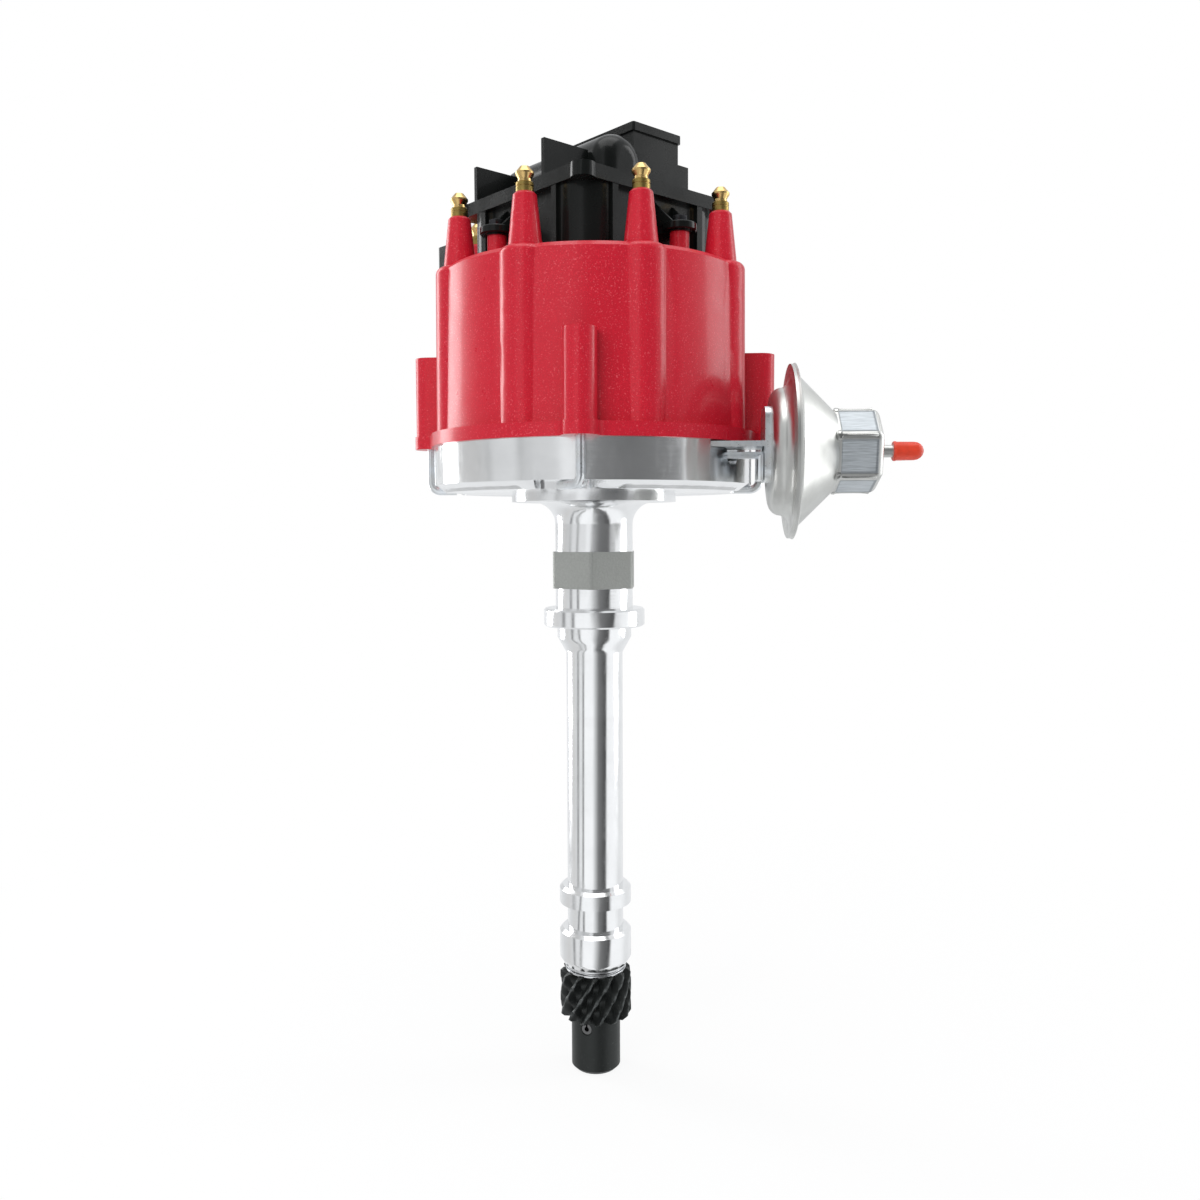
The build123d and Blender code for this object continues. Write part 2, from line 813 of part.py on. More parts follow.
# ---- Pickup, which the vacuum canister turns about the hub ----

with BuildPart() as pickup_plate:
    with BuildSketch(Plane.XY.offset(pickup_z)):
        Circle(pickup_plate_radius)
        with Locations((rod_end_x, canister_y / 2)):
            Rectangle(2.4 * rod_width, -canister_y)
        with Locations((rod_end_x, canister_y)):
            Circle(1.2 * rod_width)
        Circle(hub_radius + running_clearance, mode=Mode.SUBTRACT)
    extrude(amount=pickup_plate_thickness)
    # The drag pin that the pull rod hooks over
    with BuildSketch(Plane.XY.offset(magnet_z)):
        with Locations((rod_end_x, canister_y)):
            Circle(drag_pin_radius)
    extrude(amount=rod_z + rod_thickness + 1 - magnet_z)
pickup_plate.part.label = "pickup_plate"
export_step(pickup_plate.part, "parts/pickup_plate.step")

with BuildPart() as pickup_magnet:
    with BuildSketch(Plane.XY.offset(magnet_z)):
        Circle(pickup_outer_radius)
        Circle(pickup_inner_radius, mode=Mode.SUBTRACT)
    extrude(amount=pickup_magnet_height)
pickup_magnet.part.label = "pickup_magnet"
export_step(pickup_magnet.part, "parts/pickup_magnet.step")

with BuildPart() as pickup_coil:
    with BuildSketch(Plane.XZ):
        with BuildLine():
            Polyline(
                (pickup_inner_radius, pickup_coil_z),
                (pickup_outer_radius, pickup_coil_z),
                (pickup_outer_radius, pickup_coil_z + 1),
                (pickup_outer_radius - 2, pickup_coil_z + 1.6),
                (pickup_outer_radius - 2, pole_z - 1.6),
                (pickup_outer_radius, pole_z - 1),
                (pickup_outer_radius, pole_z),
                (pickup_inner_radius, pole_z),
                close=True,
            )
        make_face()
    revolve(axis=Axis.Z)
pickup_coil.part.label = "pickup_coil"
export_step(pickup_coil.part, "parts/pickup_coil.step")

with BuildPart() as pole_piece:
    with BuildSketch(Plane.XY.offset(pole_z)):
        Circle(pickup_outer_radius)
        Circle(pickup_inner_radius, mode=Mode.SUBTRACT)
    extrude(amount=pole_disc_thickness)
    with BuildSketch(Plane.XY.offset(pole_z + pole_disc_thickness)):
        Circle(pickup_outer_radius)
        Circle(pole_ring_inner_radius, mode=Mode.SUBTRACT)
        with PolarLocations((pole_ring_inner_radius + pole_tooth_radius) / 2 + 0.5, plug_count):
            Rectangle(pole_ring_inner_radius - pole_tooth_radius + 1, trigger_tooth_width)
    extrude(amount=pole_height - pole_disc_thickness)
pole_piece.part.label = "pole_piece"
export_step(pole_piece.part, "parts/pole_piece.step")

# ---- Rotor ----

rotor_angle = -90 + 180 / plug_count

with BuildPart() as rotor:
    with BuildSketch(Plane.XY.offset(rotor_z)):
        Circle(weight_plate_radius)
        Circle(weight_plate_radius - rotor_skirt_wall, mode=Mode.SUBTRACT)
        with Locations(*rotor_screw_spots):
            Circle(rotor_screw_boss)
            Circle(rotor_screw_radius, mode=Mode.SUBTRACT)
    extrude(amount=rotor_skirt_height)
    with BuildSketch(Plane.XY.offset(rotor_roof_z)):
        Circle(weight_plate_radius)
        with Locations(*rotor_screw_spots):
            Circle(rotor_screw_radius, mode=Mode.SUBTRACT)
    extrude(amount=rotor_roof)
    chamfer(rotor.faces().sort_by(Axis.Z)[-1].edges().sort_by(SortBy.LENGTH)[-1:], 1)
    # The arm reaches the electrodes, and its short tail balances it
    with BuildSketch(turned_plane(arm_z, rotor_angle)):
        with Locations(((rotor_arm_length - rotor_tail_length) / 2, 0)):
            RectangleRounded(rotor_arm_length + rotor_tail_length, rotor_arm_width, 5)
        with Locations(*[
            (
                rotor_screw_circle * cos(radians(rotor_screw_angle + turn - rotor_angle)),
                rotor_screw_circle * sin(radians(rotor_screw_angle + turn - rotor_angle)),
            )
            for turn in (0, 180)
        ]):
            Circle(rotor_screw_boss, mode=Mode.SUBTRACT)
    extrude(amount=rotor_arm_height, taper=4)
    with BuildSketch(turned_plane(rotor_roof_z, rotor_angle)):
        with Locations(((weight_plate_radius + rotor_arm_length) / 2 - 4, 0)):
            Rectangle(rotor_arm_length - weight_plate_radius + 4, 3)
    extrude(amount=rotor_roof + 1)
rotor.part.label = "rotor"
export_step(rotor.part, "parts/rotor.step")

rotor_upright = Plane(
    origin=(0, 0, blade_z),
    x_dir=(cos(radians(rotor_angle)), sin(radians(rotor_angle)), 0),
    z_dir=(sin(radians(rotor_angle)), -cos(radians(rotor_angle)), 0),
)

with BuildPart() as rotor_blade:
    # Flat strip out to the electrodes, with its tip turned up to face them
    with BuildSketch(rotor_upright):
        with BuildLine():
            Polyline(
                (-14, 0),
                (rotor_tip_radius, 0),
                (rotor_tip_radius, 3.4),
                (rotor_tip_radius - blade_strip_thickness, 3.4),
                (rotor_tip_radius - blade_strip_thickness, blade_strip_thickness),
                (-14, blade_strip_thickness),
                close=True,
            )
        make_face()
    extrude(amount=blade_strip_width / 2, both=True)
    # Sprung contact that rises to the carbon button in the middle
    with BuildSketch(rotor_upright):
        with BuildLine():
            rise = contact_top - blade_z
            Polyline(
                (-12.5, blade_strip_thickness),
                (-2.5, rise - contact_thickness),
                (3, rise - contact_thickness),
                (3, rise),
                (-3, rise),
                (-13.5, blade_strip_thickness),
                close=True,
            )
        make_face()
    extrude(amount=contact_width / 2, both=True)
rotor_blade.part.label = "rotor_blade"
export_step(rotor_blade.part, "parts/rotor_blade.step")

with BuildPart() as rotor_screws:
    with BuildSketch(Plane.XY.offset(weight_plate_z)):
        with Locations(*rotor_screw_spots):
            Circle(rotor_screw_radius)
    extrude(amount=arm_z - weight_plate_z)
    with BuildSketch(Plane.XY.offset(arm_z)):
        with Locations(*rotor_screw_spots):
            Circle(1.8 * rotor_screw_radius)
    extrude(amount=1.6)
rotor_screws.part.label = "rotor_screws"
export_step(rotor_screws.part, "parts/rotor_screws.step")

# ---- Cap ----

plug_locations = PolarLocations(plug_circle, plug_count, start_angle=-90 + 180 / plug_count)
latch_locations = PolarLocations(latch_circle, latch_count, start_angle=-90)
screw_posts = ((ear_side, -ear_offset), (-ear_offset, ear_side), (ear_offset, -ear_side))
core_middle_x = hump_middle
coil_screw_spots = [
    (
        core_middle_x + side * (core_width / 2 - coil_screw_inset),
        end * (core_length / 2 - coil_screw_inset),
    )
    for side in (-1, 1)
    for end in (-1, 1)
]

# One column and its plug tower, turned about their own axis
with BuildPart() as plug_column:
    with BuildSketch(Plane.XZ):
        with BuildLine():
            Polyline(
                (0, flange_top - 1),
                (column_radius, flange_top - 1),
                (column_top_radius, cap_top - column_shoulder),
            )
            RadiusArc(
                (column_top_radius, cap_top - column_shoulder),
                (column_top_radius - column_shoulder + 0.8, cap_top),
                -column_shoulder,
            )
            Line(
                (column_top_radius - column_shoulder + 0.8, cap_top),
                (tower_base_radius + 0.1, cap_top),
            )
            Polyline(
                (tower_base_radius + 0.1, cap_top),
                (tower_base_radius, cap_top + tower_base_fillet),
                (tower_top_radius, tower_top - tower_edge),
                (tower_top_radius - tower_edge, tower_top),
                (0, tower_top),
                (0, flange_top - 1),
            )
        make_face()
    revolve(axis=Axis.Z)

with BuildPart() as cap:
    # Drafted wall, closed on top
    with BuildSketch(Plane.XZ):
        with BuildLine():
            Polyline(
                (0, rim_z),
                (cap_radius, rim_z),
                (cap_radius, flange_top),
                (cap_top_radius, cap_top - cap_edge),
                (cap_top_radius - cap_edge, cap_top),
                (0, cap_top),
                close=True,
            )
        make_face()
    revolve(axis=Axis.Z)
    # Flange, with small ears round the latch towers
    with BuildSketch(Plane.XY.offset(rim_z)) as flange_outline:
        Circle(flange_radius)
        with latch_locations:
            Circle(latch_tower_radius + latch_ear)
        ear_corners = flange_outline.vertices().filter_by(
            lambda corner: hypot(corner.X, corner.Y) < flange_radius + 0.1
        )
        fillet(ear_corners, 4)
    extrude(amount=flange_height)
    with BuildSketch(Plane.XY.offset(flange_top - 1)):
        with latch_locations:
            Circle(latch_tower_radius)
            with Locations((-latch_tower_radius, 0)):
                Rectangle(2 * latch_tower_radius, 2 * latch_tower_radius)
    extrude(amount=latch_tower_top - flange_top + 1)
    with plug_locations:
        add(plug_column.part)
    # Plinth and posts for the coil cover
    with BuildSketch(cover_plane(cap_top)):
        RectangleRounded(2 * cover_half_width + 2, 2 * cover_half_width + 2, cover_drum_radius + 1)
    extrude(amount=plinth_height)
    with BuildSketch(cover_plane(cap_top)):
        with Locations(*screw_posts):
            Circle(post_radius)
    extrude(amount=post_height)
    # Room for the rotor below and for the coil above
    with BuildSketch(Plane.XY.offset(rim_z)):
        Circle(cap_inner_radius)
    extrude(amount=cap_roof_z - rim_z, mode=Mode.SUBTRACT)
    with BuildSketch(cover_plane(well_floor)):
        RectangleRounded(2 * coil_well_half_width, 2 * coil_well_half_width, coil_well_corner)
    extrude(amount=cover_z - well_floor, mode=Mode.SUBTRACT)
    # Posts that carry the coil's core, with their screw holes
    with BuildSketch(cover_plane(well_floor)):
        with Locations(*coil_screw_spots):
            Circle(coil_screw_head_radius + 0.5)
            Circle(coil_screw_radius, mode=Mode.SUBTRACT)
    extrude(amount=core_bottom - well_floor)
    # Guide for the carbon button
    with BuildSketch(Plane.XY.offset(cap_roof_z)):
        Circle(2 * carbon_radius)
    extrude(amount=-cap_roof_gap / 2)
    with BuildSketch(Plane.XY.offset(well_floor)):
        Circle(carbon_radius + running_clearance)
    extrude(amount=cap_roof_z - cap_roof_gap - well_floor, mode=Mode.SUBTRACT)
    # Through holes of the plug terminals and the cover's screws
    with BuildSketch(Plane.XY.offset(cap_roof_z)):
        with plug_locations:
            Circle(terminal_pin_radius)
    extrude(amount=tower_top - cap_roof_z, mode=Mode.SUBTRACT)
    with BuildSketch(cover_plane(post_top)):
        with Locations(*screw_posts):
            Circle(cover_screw_radius)
    extrude(amount=-post_height, mode=Mode.SUBTRACT)
    # Latch bores: wide above for the spring and the head, narrow below for the rod
    with BuildSketch(Plane.XY.offset(flange_top)):
        with latch_locations:
            Circle(latch_bore_radius)
    extrude(amount=latch_tower_height, mode=Mode.SUBTRACT)
    with BuildSketch(Plane.XY.offset(rim_z)):
        with latch_locations:
            Circle(latch_rod_radius + moving_gap)
    extrude(amount=flange_height, mode=Mode.SUBTRACT)
cap.part.label = "cap"
export_step(cap.part, "parts/cap.step")

# ---- Plug terminals ----

plug_angles = [-90 + (number + 0.5) * 360 / plug_count for number in range(plug_count)]

for number, angle in enumerate(plug_angles, start=1):
    terminal_x = plug_circle * cos(radians(angle))
    terminal_y = plug_circle * sin(radians(angle))
    with BuildPart() as plug_terminal:
        with BuildSketch(upright_plane(angle)):
            with BuildLine():
                terminal_outline = (
                    (0, electrode_bottom),
                    (terminal_pin_radius, electrode_bottom),
                    (terminal_pin_radius, tower_top),
                    (terminal_collar_radius, tower_top),
                    (terminal_collar_radius, tower_top + terminal_collar_height),
                    (terminal_neck_radius + 0.4, tower_top + terminal_collar_height + 0.3),
                    (terminal_neck_radius, tower_top + 0.52 * terminal_height),
                    (terminal_barb_radius, tower_top + 0.70 * terminal_height),
                    (terminal_barb_radius, tower_top + 0.77 * terminal_height),
                    (terminal_tip_radius, tower_top + terminal_height),
                    (0, tower_top + terminal_height),
                )
                Polyline(*[(plug_circle + x, z) for x, z in terminal_outline], close=True)
            make_face()
        revolve(axis=Axis((terminal_x, terminal_y, 0), (0, 0, 1)))
        with BuildSketch(turned_plane(electrode_bottom, angle)):
            with Locations((electrode_radius + electrode_depth / 2, 0)):
                Rectangle(electrode_depth, electrode_width)
        extrude(amount=cap_roof_z - electrode_bottom)
    plug_terminal.part.label = f"plug_terminal_{number}"
    export_step(plug_terminal.part, f"parts/plug_terminal_{number}.step")

# ---- Latches: a rod with a hooked foot, and a slotted head down in the tower ----

latch_angles = [-90 + number * 360 / latch_count for number in range(latch_count)]

for number, angle in enumerate(latch_angles, start=1):
    latch_x = latch_circle * cos(radians(angle))
    latch_y = latch_circle * sin(radians(angle))
    foot_turn = front_latch_turn if number == 1 else 0
    inward = radians(angle + 180 + foot_turn)
    latch_plane = Plane(
        origin=(latch_x, latch_y, 0),
        x_dir=(cos(inward), sin(inward), 0),
        z_dir=(sin(inward), -cos(inward), 0),
    )
    with BuildPart() as latch_hook:
        with BuildLine(latch_plane) as rod_path:
            Line((0, latch_head_z), (0, latch_foot_z + latch_foot_bend))
            RadiusArc(
                (0, latch_foot_z + latch_foot_bend),
                (latch_foot_bend, latch_foot_z),
                -latch_foot_bend,
            )
            Line((latch_foot_bend, latch_foot_z), (latch_foot_reach, latch_foot_z))
        with BuildSketch(Plane(origin=(latch_x, latch_y, latch_head_z), z_dir=(0, 0, -1))):
            Circle(latch_rod_radius)
        sweep(path=rod_path.line)
        with BuildSketch(Plane(origin=(latch_x, latch_y, latch_head_z))):
            Circle(latch_head_radius)
        extrude(amount=latch_head_height)
        with BuildSketch(Plane(origin=(latch_x, latch_y, latch_head_z + latch_head_height))):
            Rectangle(3 * latch_head_radius, 1.2)
        extrude(amount=-1.2, mode=Mode.SUBTRACT)
    latch_hook.part.label = f"latch_hook_{number}"
    export_step(latch_hook.part, f"parts/latch_hook_{number}.step")

with BuildPart() as latch_springs:
    for angle in latch_angles:
        spring_foot = (
            latch_circle * cos(radians(angle)),
            latch_circle * sin(radians(angle)),
            flange_top,
        )
        spring_radius = (latch_bore_radius + latch_rod_radius) / 2
        spring_length = latch_head_z - flange_top
        add(coil_spring(spring_foot, (0, 0, 1), spring_radius, latch_spring_wire, spring_length, 7))
latch_springs.part.label = "latch_springs"
export_step(latch_springs.part, "parts/latch_springs.step")

# ---- Ignition coil in the cap's well ----

with BuildPart() as carbon_button:
    with BuildSketch(Plane.XY.offset(carbon_z)):
        Circle(carbon_radius)
    extrude(amount=carbon_length)
    chamfer(carbon_button.faces().sort_by(Axis.Z)[0].edges(), 0.6)
carbon_button.part.label = "carbon_button"
export_step(carbon_button.part, "parts/carbon_button.step")

with BuildPart() as carbon_spring:
    add(coil_spring((0, 0, carbon_top), (0, 0, 1), 0.75 * carbon_radius, 0.3, carbon_spring_length, 4))
carbon_spring.part.label = "carbon_spring"
export_step(carbon_spring.part, "parts/carbon_spring.step")

winding_bottom = well_floor + seal_thickness
spring_pocket_radius = carbon_radius + 0.6

with BuildPart() as coil_seal:
    with BuildSketch(Plane.XY.offset(well_floor)):
        Circle(seal_radius)
        Circle(spring_pocket_radius, mode=Mode.SUBTRACT)
    extrude(amount=seal_thickness)
coil_seal.part.label = "coil_seal"
export_step(coil_seal.part, "parts/coil_seal.step")

with BuildPart() as coil_core:
    with BuildSketch(cover_plane(core_bottom)):
        with Locations((core_middle_x, 0)):
            Rectangle(core_width, core_length)
            window_inner = core_middle_leg / 2
            window_outer = core_width / 2 - core_leg
            with Locations(
                ((window_inner + window_outer) / 2, 0), (-(window_inner + window_outer) / 2, 0)
            ):
                Rectangle(
                    window_outer - window_inner, core_length - 2 * core_yoke, mode=Mode.SUBTRACT
                )
        with Locations(*coil_screw_spots):
            Circle(coil_screw_radius, mode=Mode.SUBTRACT)
    extrude(amount=core_thickness)
coil_core.part.label = "coil_core"
export_step(coil_core.part, "parts/coil_core.step")

with BuildPart() as coil_winding:
    winding_half_length = core_length / 2 - core_yoke - 0.5
    with BuildSketch(cover_section(-winding_half_length)):
        with Locations((core_middle_x, core_middle_z)):
            Circle(winding_radius)
    extrude(amount=-2 * winding_half_length)
    # Cheeks of the bobbin
    for cheek in (-winding_half_length, winding_half_length - cheek_thickness):
        with BuildSketch(cover_section(cheek)):
            with Locations((core_middle_x, core_middle_z)):
                RectangleRounded(2 * (winding_radius + cheek_proud), 2 * core_thickness, 4)
        extrude(amount=-cheek_thickness)
    # Potted tower down to the carbon button's spring
    with BuildSketch(Plane.XY.offset(winding_bottom)):
        Circle(winding_foot_radius)
    extrude(amount=core_bottom - winding_bottom - 1)
    with BuildSketch(Plane.XY.offset(winding_bottom)):
        Circle(spring_pocket_radius)
    extrude(amount=carbon_top + carbon_spring_length - winding_bottom, mode=Mode.SUBTRACT)
    with BuildSketch(cover_section(-winding_half_length)):
        with Locations((core_middle_x, core_middle_z)):
            Rectangle(core_middle_leg, core_thickness)
    extrude(amount=-2 * winding_half_length, mode=Mode.SUBTRACT)
coil_winding.part.label = "coil_winding"
export_step(coil_winding.part, "parts/coil_winding.step")

with BuildPart() as coil_screws:
    with BuildSketch(cover_plane(core_bottom - coil_screw_length)):
        with Locations(*coil_screw_spots):
            Circle(coil_screw_radius)
    extrude(amount=core_thickness + coil_screw_length)
    with BuildSketch(cover_plane(core_bottom + core_thickness)):
        with Locations(*coil_screw_spots):
            Circle(coil_screw_head_radius)
    extrude(amount=coil_screw_head_height, taper=8)
coil_screws.part.label = "coil_screws"
export_step(coil_screws.part, "parts/coil_screws.step")

# ---- Coil cover: one moulding with a lip, a hump, a connector hood and a wing ----

hood_middle_x = (hood_left + hood_right) / 2
hood_width = hood_right - hood_left
hood_step_z = lip_top + hood_step_height
hood_top = lip_top + hood_height
arch_z = lip_top + hump_height - hump_half_width
drum_offset = cover_half_width - cover_drum_radius
skirt_half_width = cover_half_width - cover_wall_setback
hump_hollow_near = hump_near + hump_nose_round - cover_wall
socket_spots = [
    (side * (socket_width / 2 + 2), (wing_head_y + wing_reach) / 2)
    for side in (-1, 1)
]
corner_spots = GridLocations(2 * corner_barrel_offset, 2 * corner_barrel_offset, 2, 2)

# The hump is an arch with a blunt, rounded nose
with BuildPart() as hump_form:
    with BuildSketch(cover_section(hump_near)):
        with Locations((hump_middle, arch_z)):
            Circle(hump_half_width)
        with Locations((hump_middle, (lip_top - 1 + arch_z) / 2)):
            Rectangle(2 * hump_half_width, arch_z - lip_top + 1)
    extrude(amount=-(hump_far - hump_near))
    hump_nose = hump_form.faces().sort_by(Axis((0, 0, 0), (1, -1, 0)))[-1]
    fillet(hump_nose.edges().filter_by(lambda edge: edge.center().Z > lip_top), hump_nose_round)

with BuildPart() as coil_cover:
    with BuildSketch(cover_plane(cover_z)):
        skirt_corner = cover_drum_radius - cover_wall_setback
        RectangleRounded(2 * skirt_half_width, 2 * skirt_half_width, skirt_corner)
        with GridLocations(2 * drum_offset, 2 * drum_offset, 2, 2):
            Circle(cover_drum_radius)
        # Pilasters stand on all four walls
        with PolarLocations(cover_half_width, 4):
            with Locations((0, pilaster_offset), (0, -pilaster_offset)):
                Rectangle(2 * pilaster_proud, pilaster_width)
    extrude(amount=cover_skirt_height)
    with BuildSketch(cover_plane(skirt_top)):
        RectangleRounded(2 * cover_lip_half_width, 2 * cover_lip_half_width, cover_lip_corner)
        with corner_spots:
            Circle(corner_barrel_radius)
    extrude(amount=cover_lip_height)
    # Hump over the winding
    add(hump_form.part)
    # Connector hood: a stepped block under a thin slab
    with BuildSketch(cover_plane(lip_top - cover_wall)):
        with Locations((hood_middle_x + hood_step / 2, (hood_near - hood_step + hood_far) / 2)):
            Rectangle(hood_width + hood_step, hood_far - hood_near + hood_step)
    extrude(amount=hood_step_height + cover_wall)
    with BuildSketch(cover_plane(hood_step_z - 1)):
        with Locations((hood_middle_x, (hood_near + hood_far) / 2)):
            Rectangle(hood_width - 2 * hood_overhang, hood_far - hood_near - 2 * hood_overhang)
    extrude(amount=hood_top - hood_slab - hood_step_z + 1)
    with BuildSketch(cover_plane(hood_top - hood_slab)):
        with Locations((hood_middle_x, (hood_near + hood_far) / 2)):
            RectangleRounded(hood_width, hood_far - hood_near, 1)
    extrude(amount=hood_slab)
    # Wing: a neck between two plug towers, and a head with two sockets past the cap's rim
    with BuildSketch(cover_plane(wing_bottom)):
        with Locations((0, (skirt_half_width + wing_head_y) / 2)):
            Rectangle(2 * wing_neck_half_width, wing_head_y - skirt_half_width + 2)
        with Locations((0, (wing_head_y + wing_reach) / 2)):
            RectangleRounded(2 * wing_half_width, wing_reach - wing_head_y, 2)
    extrude(amount=wing_height)
    # Two fins stand on the front left edge
    for fin_y in fin_positions:
        with BuildSketch(cover_plane(lip_top)):
            with Locations((-cover_lip_half_width + 0.6 + fin_length / 2, fin_y)):
                Rectangle(fin_length, fin_thickness)
        extrude(amount=fin_height)
    # Ears for the cover's screws
    with BuildSketch(cover_plane(post_top)):
        with Locations(*screw_posts):
            Circle(ear_radius)
        with Locations((ear_side, -(ear_offset + skirt_half_width) / 2 + 1)):
            Rectangle(2 * ear_radius, ear_offset - skirt_half_width + 2)
        with Locations(
            (-(ear_offset + skirt_half_width) / 2 + 1, ear_side),
            ((ear_offset + skirt_half_width) / 2 - 1, -ear_side),
        ):
            Rectangle(ear_offset - skirt_half_width + 2, 2 * ear_radius)
    extrude(amount=ear_thickness)
    # Hollow inside
    with BuildSketch(cover_plane(cover_z)):
        inner_half_width = skirt_half_width - cover_wall
        RectangleRounded(2 * inner_half_width, 2 * inner_half_width, cover_inner_corner)
    extrude(amount=lip_top - cover_wall - cover_z, mode=Mode.SUBTRACT)
    with BuildSketch(cover_section(hump_hollow_near)):
        with Locations((hump_middle, arch_z)):
            Circle(hump_half_width - cover_wall)
        with Locations((hump_middle, (skirt_top + arch_z) / 2)):
            Rectangle(2 * (hump_half_width - cover_wall), arch_z - skirt_top)
    extrude(amount=-(inner_half_width - hump_hollow_near), mode=Mode.SUBTRACT)
    with BuildSketch(cover_plane(skirt_top)):
        with Locations((hood_middle_x, (hood_near + cover_wall + inner_half_width) / 2)):
            hood_hollow = inner_half_width - hood_near - cover_wall
            Rectangle(hood_width - 2 * (hood_overhang + cover_wall), hood_hollow)
    extrude(amount=hood_top - hood_slab - skirt_top, mode=Mode.SUBTRACT)
    # Screw holes and sockets
    with BuildSketch(cover_plane(post_top)):
        with Locations(*screw_posts):
            Circle(cover_screw_radius)
    extrude(amount=ear_thickness, mode=Mode.SUBTRACT)
    with BuildSketch(cover_plane(wing_bottom)):
        with Locations(*socket_spots):
            Rectangle(socket_width, socket_depth)
    extrude(amount=socket_height, mode=Mode.SUBTRACT)
coil_cover.part.label = "coil_cover"
export_step(coil_cover.part, "parts/coil_cover.step")

with BuildPart() as connector_blades:
    with BuildSketch(cover_plane(wing_bottom + socket_height)):
        with Locations(*socket_spots):
            with Locations((socket_width / 4, 0)):
                Rectangle(blade_thickness, blade_width)
    extrude(amount=-blade_length)
connector_blades.part.label = "connector_blades"
export_step(connector_blades.part, "parts/connector_blades.step")

with BuildPart() as cover_screws:
    with BuildSketch(cover_plane(post_top + ear_thickness)):
        with Locations(*screw_posts):
            Circle(cover_screw_radius)
    extrude(amount=-ear_thickness - cover_screw_depth)
    with BuildSketch(cover_plane(post_top + ear_thickness)):
        with Locations(*screw_posts):
            Circle(2 * cover_screw_radius)
    extrude(amount=cover_screw_head_height)
cover_screws.part.label = "cover_screws"
export_step(cover_screws.part, "parts/cover_screws.step")

# ---- Vacuum canister ----

rod_port_radius = 5.5

with BuildPart() as canister_rear:
    with BuildSketch(canister_plane()):
        with BuildLine():
            back = canister_back_x
            shoulder = dish_shoulder
            flare_x = rim_x - dish_flare
            Line((back, rod_port_radius), (back, dish_radius - shoulder))
            RadiusArc((back, dish_radius - shoulder), (back + shoulder, dish_radius), shoulder)
            Line((back + shoulder, dish_radius), (flare_x, dish_radius + 0.3))
            ThreePointArc(
                (flare_x, dish_radius + 0.3),
                (flare_x + 1.5, dish_radius + 1.6),
                (rim_x - shell_wall, dish_radius + 5),
            )
            Polyline(
                (rim_x - shell_wall, dish_radius + 5),
                (rim_x - shell_wall, canister_rim_radius),
                (rim_x, canister_rim_radius),
                (rim_x, dish_radius + 5),
            )
            Polyline(
                (rim_x, dish_radius + 5),
                (flare_x + 2.3, dish_radius + 1),
                (flare_x, dish_radius + 0.3 - shell_wall),
            )
            Line(
                (flare_x, dish_radius + 0.3 - shell_wall),
                (back + shoulder, dish_radius - shell_wall),
            )
            RadiusArc(
                (back + shoulder, dish_radius - shell_wall),
                (back + shell_wall, dish_radius - shoulder),
                shell_wall - shoulder,
            )
            Polyline(
                (back + shell_wall, dish_radius - shoulder),
                (back + shell_wall, rod_port_radius),
                (back, rod_port_radius),
            )
        make_face()
    revolve(axis=canister_axis)
canister_rear.part.label = "canister_rear"
export_step(canister_rear.part, "parts/canister_rear.step")

with BuildPart() as canister_front:
    # Rim folded over the rear shell, then the cone
    with BuildSketch(canister_plane()):
        with BuildLine():
            Polyline(
                (rim_x, canister_rim_radius),
                (cone_x - 0.4, canister_rim_radius + 0.4),
                (cone_x, canister_rim_radius - 0.4),
                (cone_x, canister_rim_radius - 2.4),
                (cone_x + 1.2, canister_rim_radius - 4.6),
                (hexagon_x, cone_end_radius),
                (hexagon_x + 1, cone_end_radius - 1),
                (hexagon_x, cone_end_radius - 1.6),
                (cone_x, canister_rim_radius - 5.4),
                (rim_x, canister_rim_radius - 3.6),
                close=True,
            )
        make_face()
    revolve(axis=canister_axis)
    # Hexagonal end, open inside
    with BuildSketch(across_plane(hexagon_x - 0.6)) as hexagon_sketch:
        RegularPolygon(hexagon_end_radius, 6, rotation=-hexagon_end_turn)
        fillet(hexagon_sketch.vertices(), hexagon_end_corner)
    extrude(amount=hexagon_end_length + 0.6)
    fillet(canister_front.faces().sort_by(Axis.X)[-1].edges(), hexagon_end_round)
    with BuildSketch(across_plane(hexagon_x - 1)) as hollow_sketch:
        RegularPolygon(hexagon_end_radius - hexagon_end_wall, 6, rotation=-hexagon_end_turn)
        fillet(hollow_sketch.vertices(), hexagon_end_corner - hexagon_end_wall)
    extrude(amount=hexagon_end_length + 1 - 2 * shell_wall, mode=Mode.SUBTRACT)
    with BuildSketch(across_plane(hexagon_end_x - shell_wall)):
        Circle(nipple_radius)
    extrude(amount=nipple_length + shell_wall)
    with BuildSketch(across_plane(nipple_end_x)):
        Circle(0.55 * nipple_radius)
    extrude(amount=-nipple_length - 3 * shell_wall, mode=Mode.SUBTRACT)
canister_front.part.label = "canister_front"
export_step(canister_front.part, "parts/canister_front.step")

cap_nose_radius = 0.88 * rubber_cap_radius

with BuildPart() as vacuum_cap:
    with BuildSketch(canister_plane()):
        with BuildLine():
            cap_end = rubber_cap_x + rubber_cap_length
            Line((rubber_cap_x, nipple_radius), (rubber_cap_x, rubber_cap_radius))
            Line((rubber_cap_x, rubber_cap_radius), (cap_end - cap_nose_radius, cap_nose_radius))
            ThreePointArc(
                (cap_end - cap_nose_radius, cap_nose_radius),
                (cap_end - cap_nose_radius * (1 - cos(radians(45))), cap_nose_radius * cos(radians(45))),
                (cap_end, 0),
            )
            Polyline(
                (cap_end, 0), (nipple_end_x, 0), (nipple_end_x, nipple_radius),
                (rubber_cap_x, nipple_radius),
            )
        make_face()
    revolve(axis=canister_axis)
vacuum_cap.part.label = "vacuum_cap"
export_step(vacuum_cap.part, "parts/vacuum_cap.step")

diaphragm_radius = canister_rim_radius - 5
disc_radius = 11.0
disc_x = rim_x + diaphragm_thickness

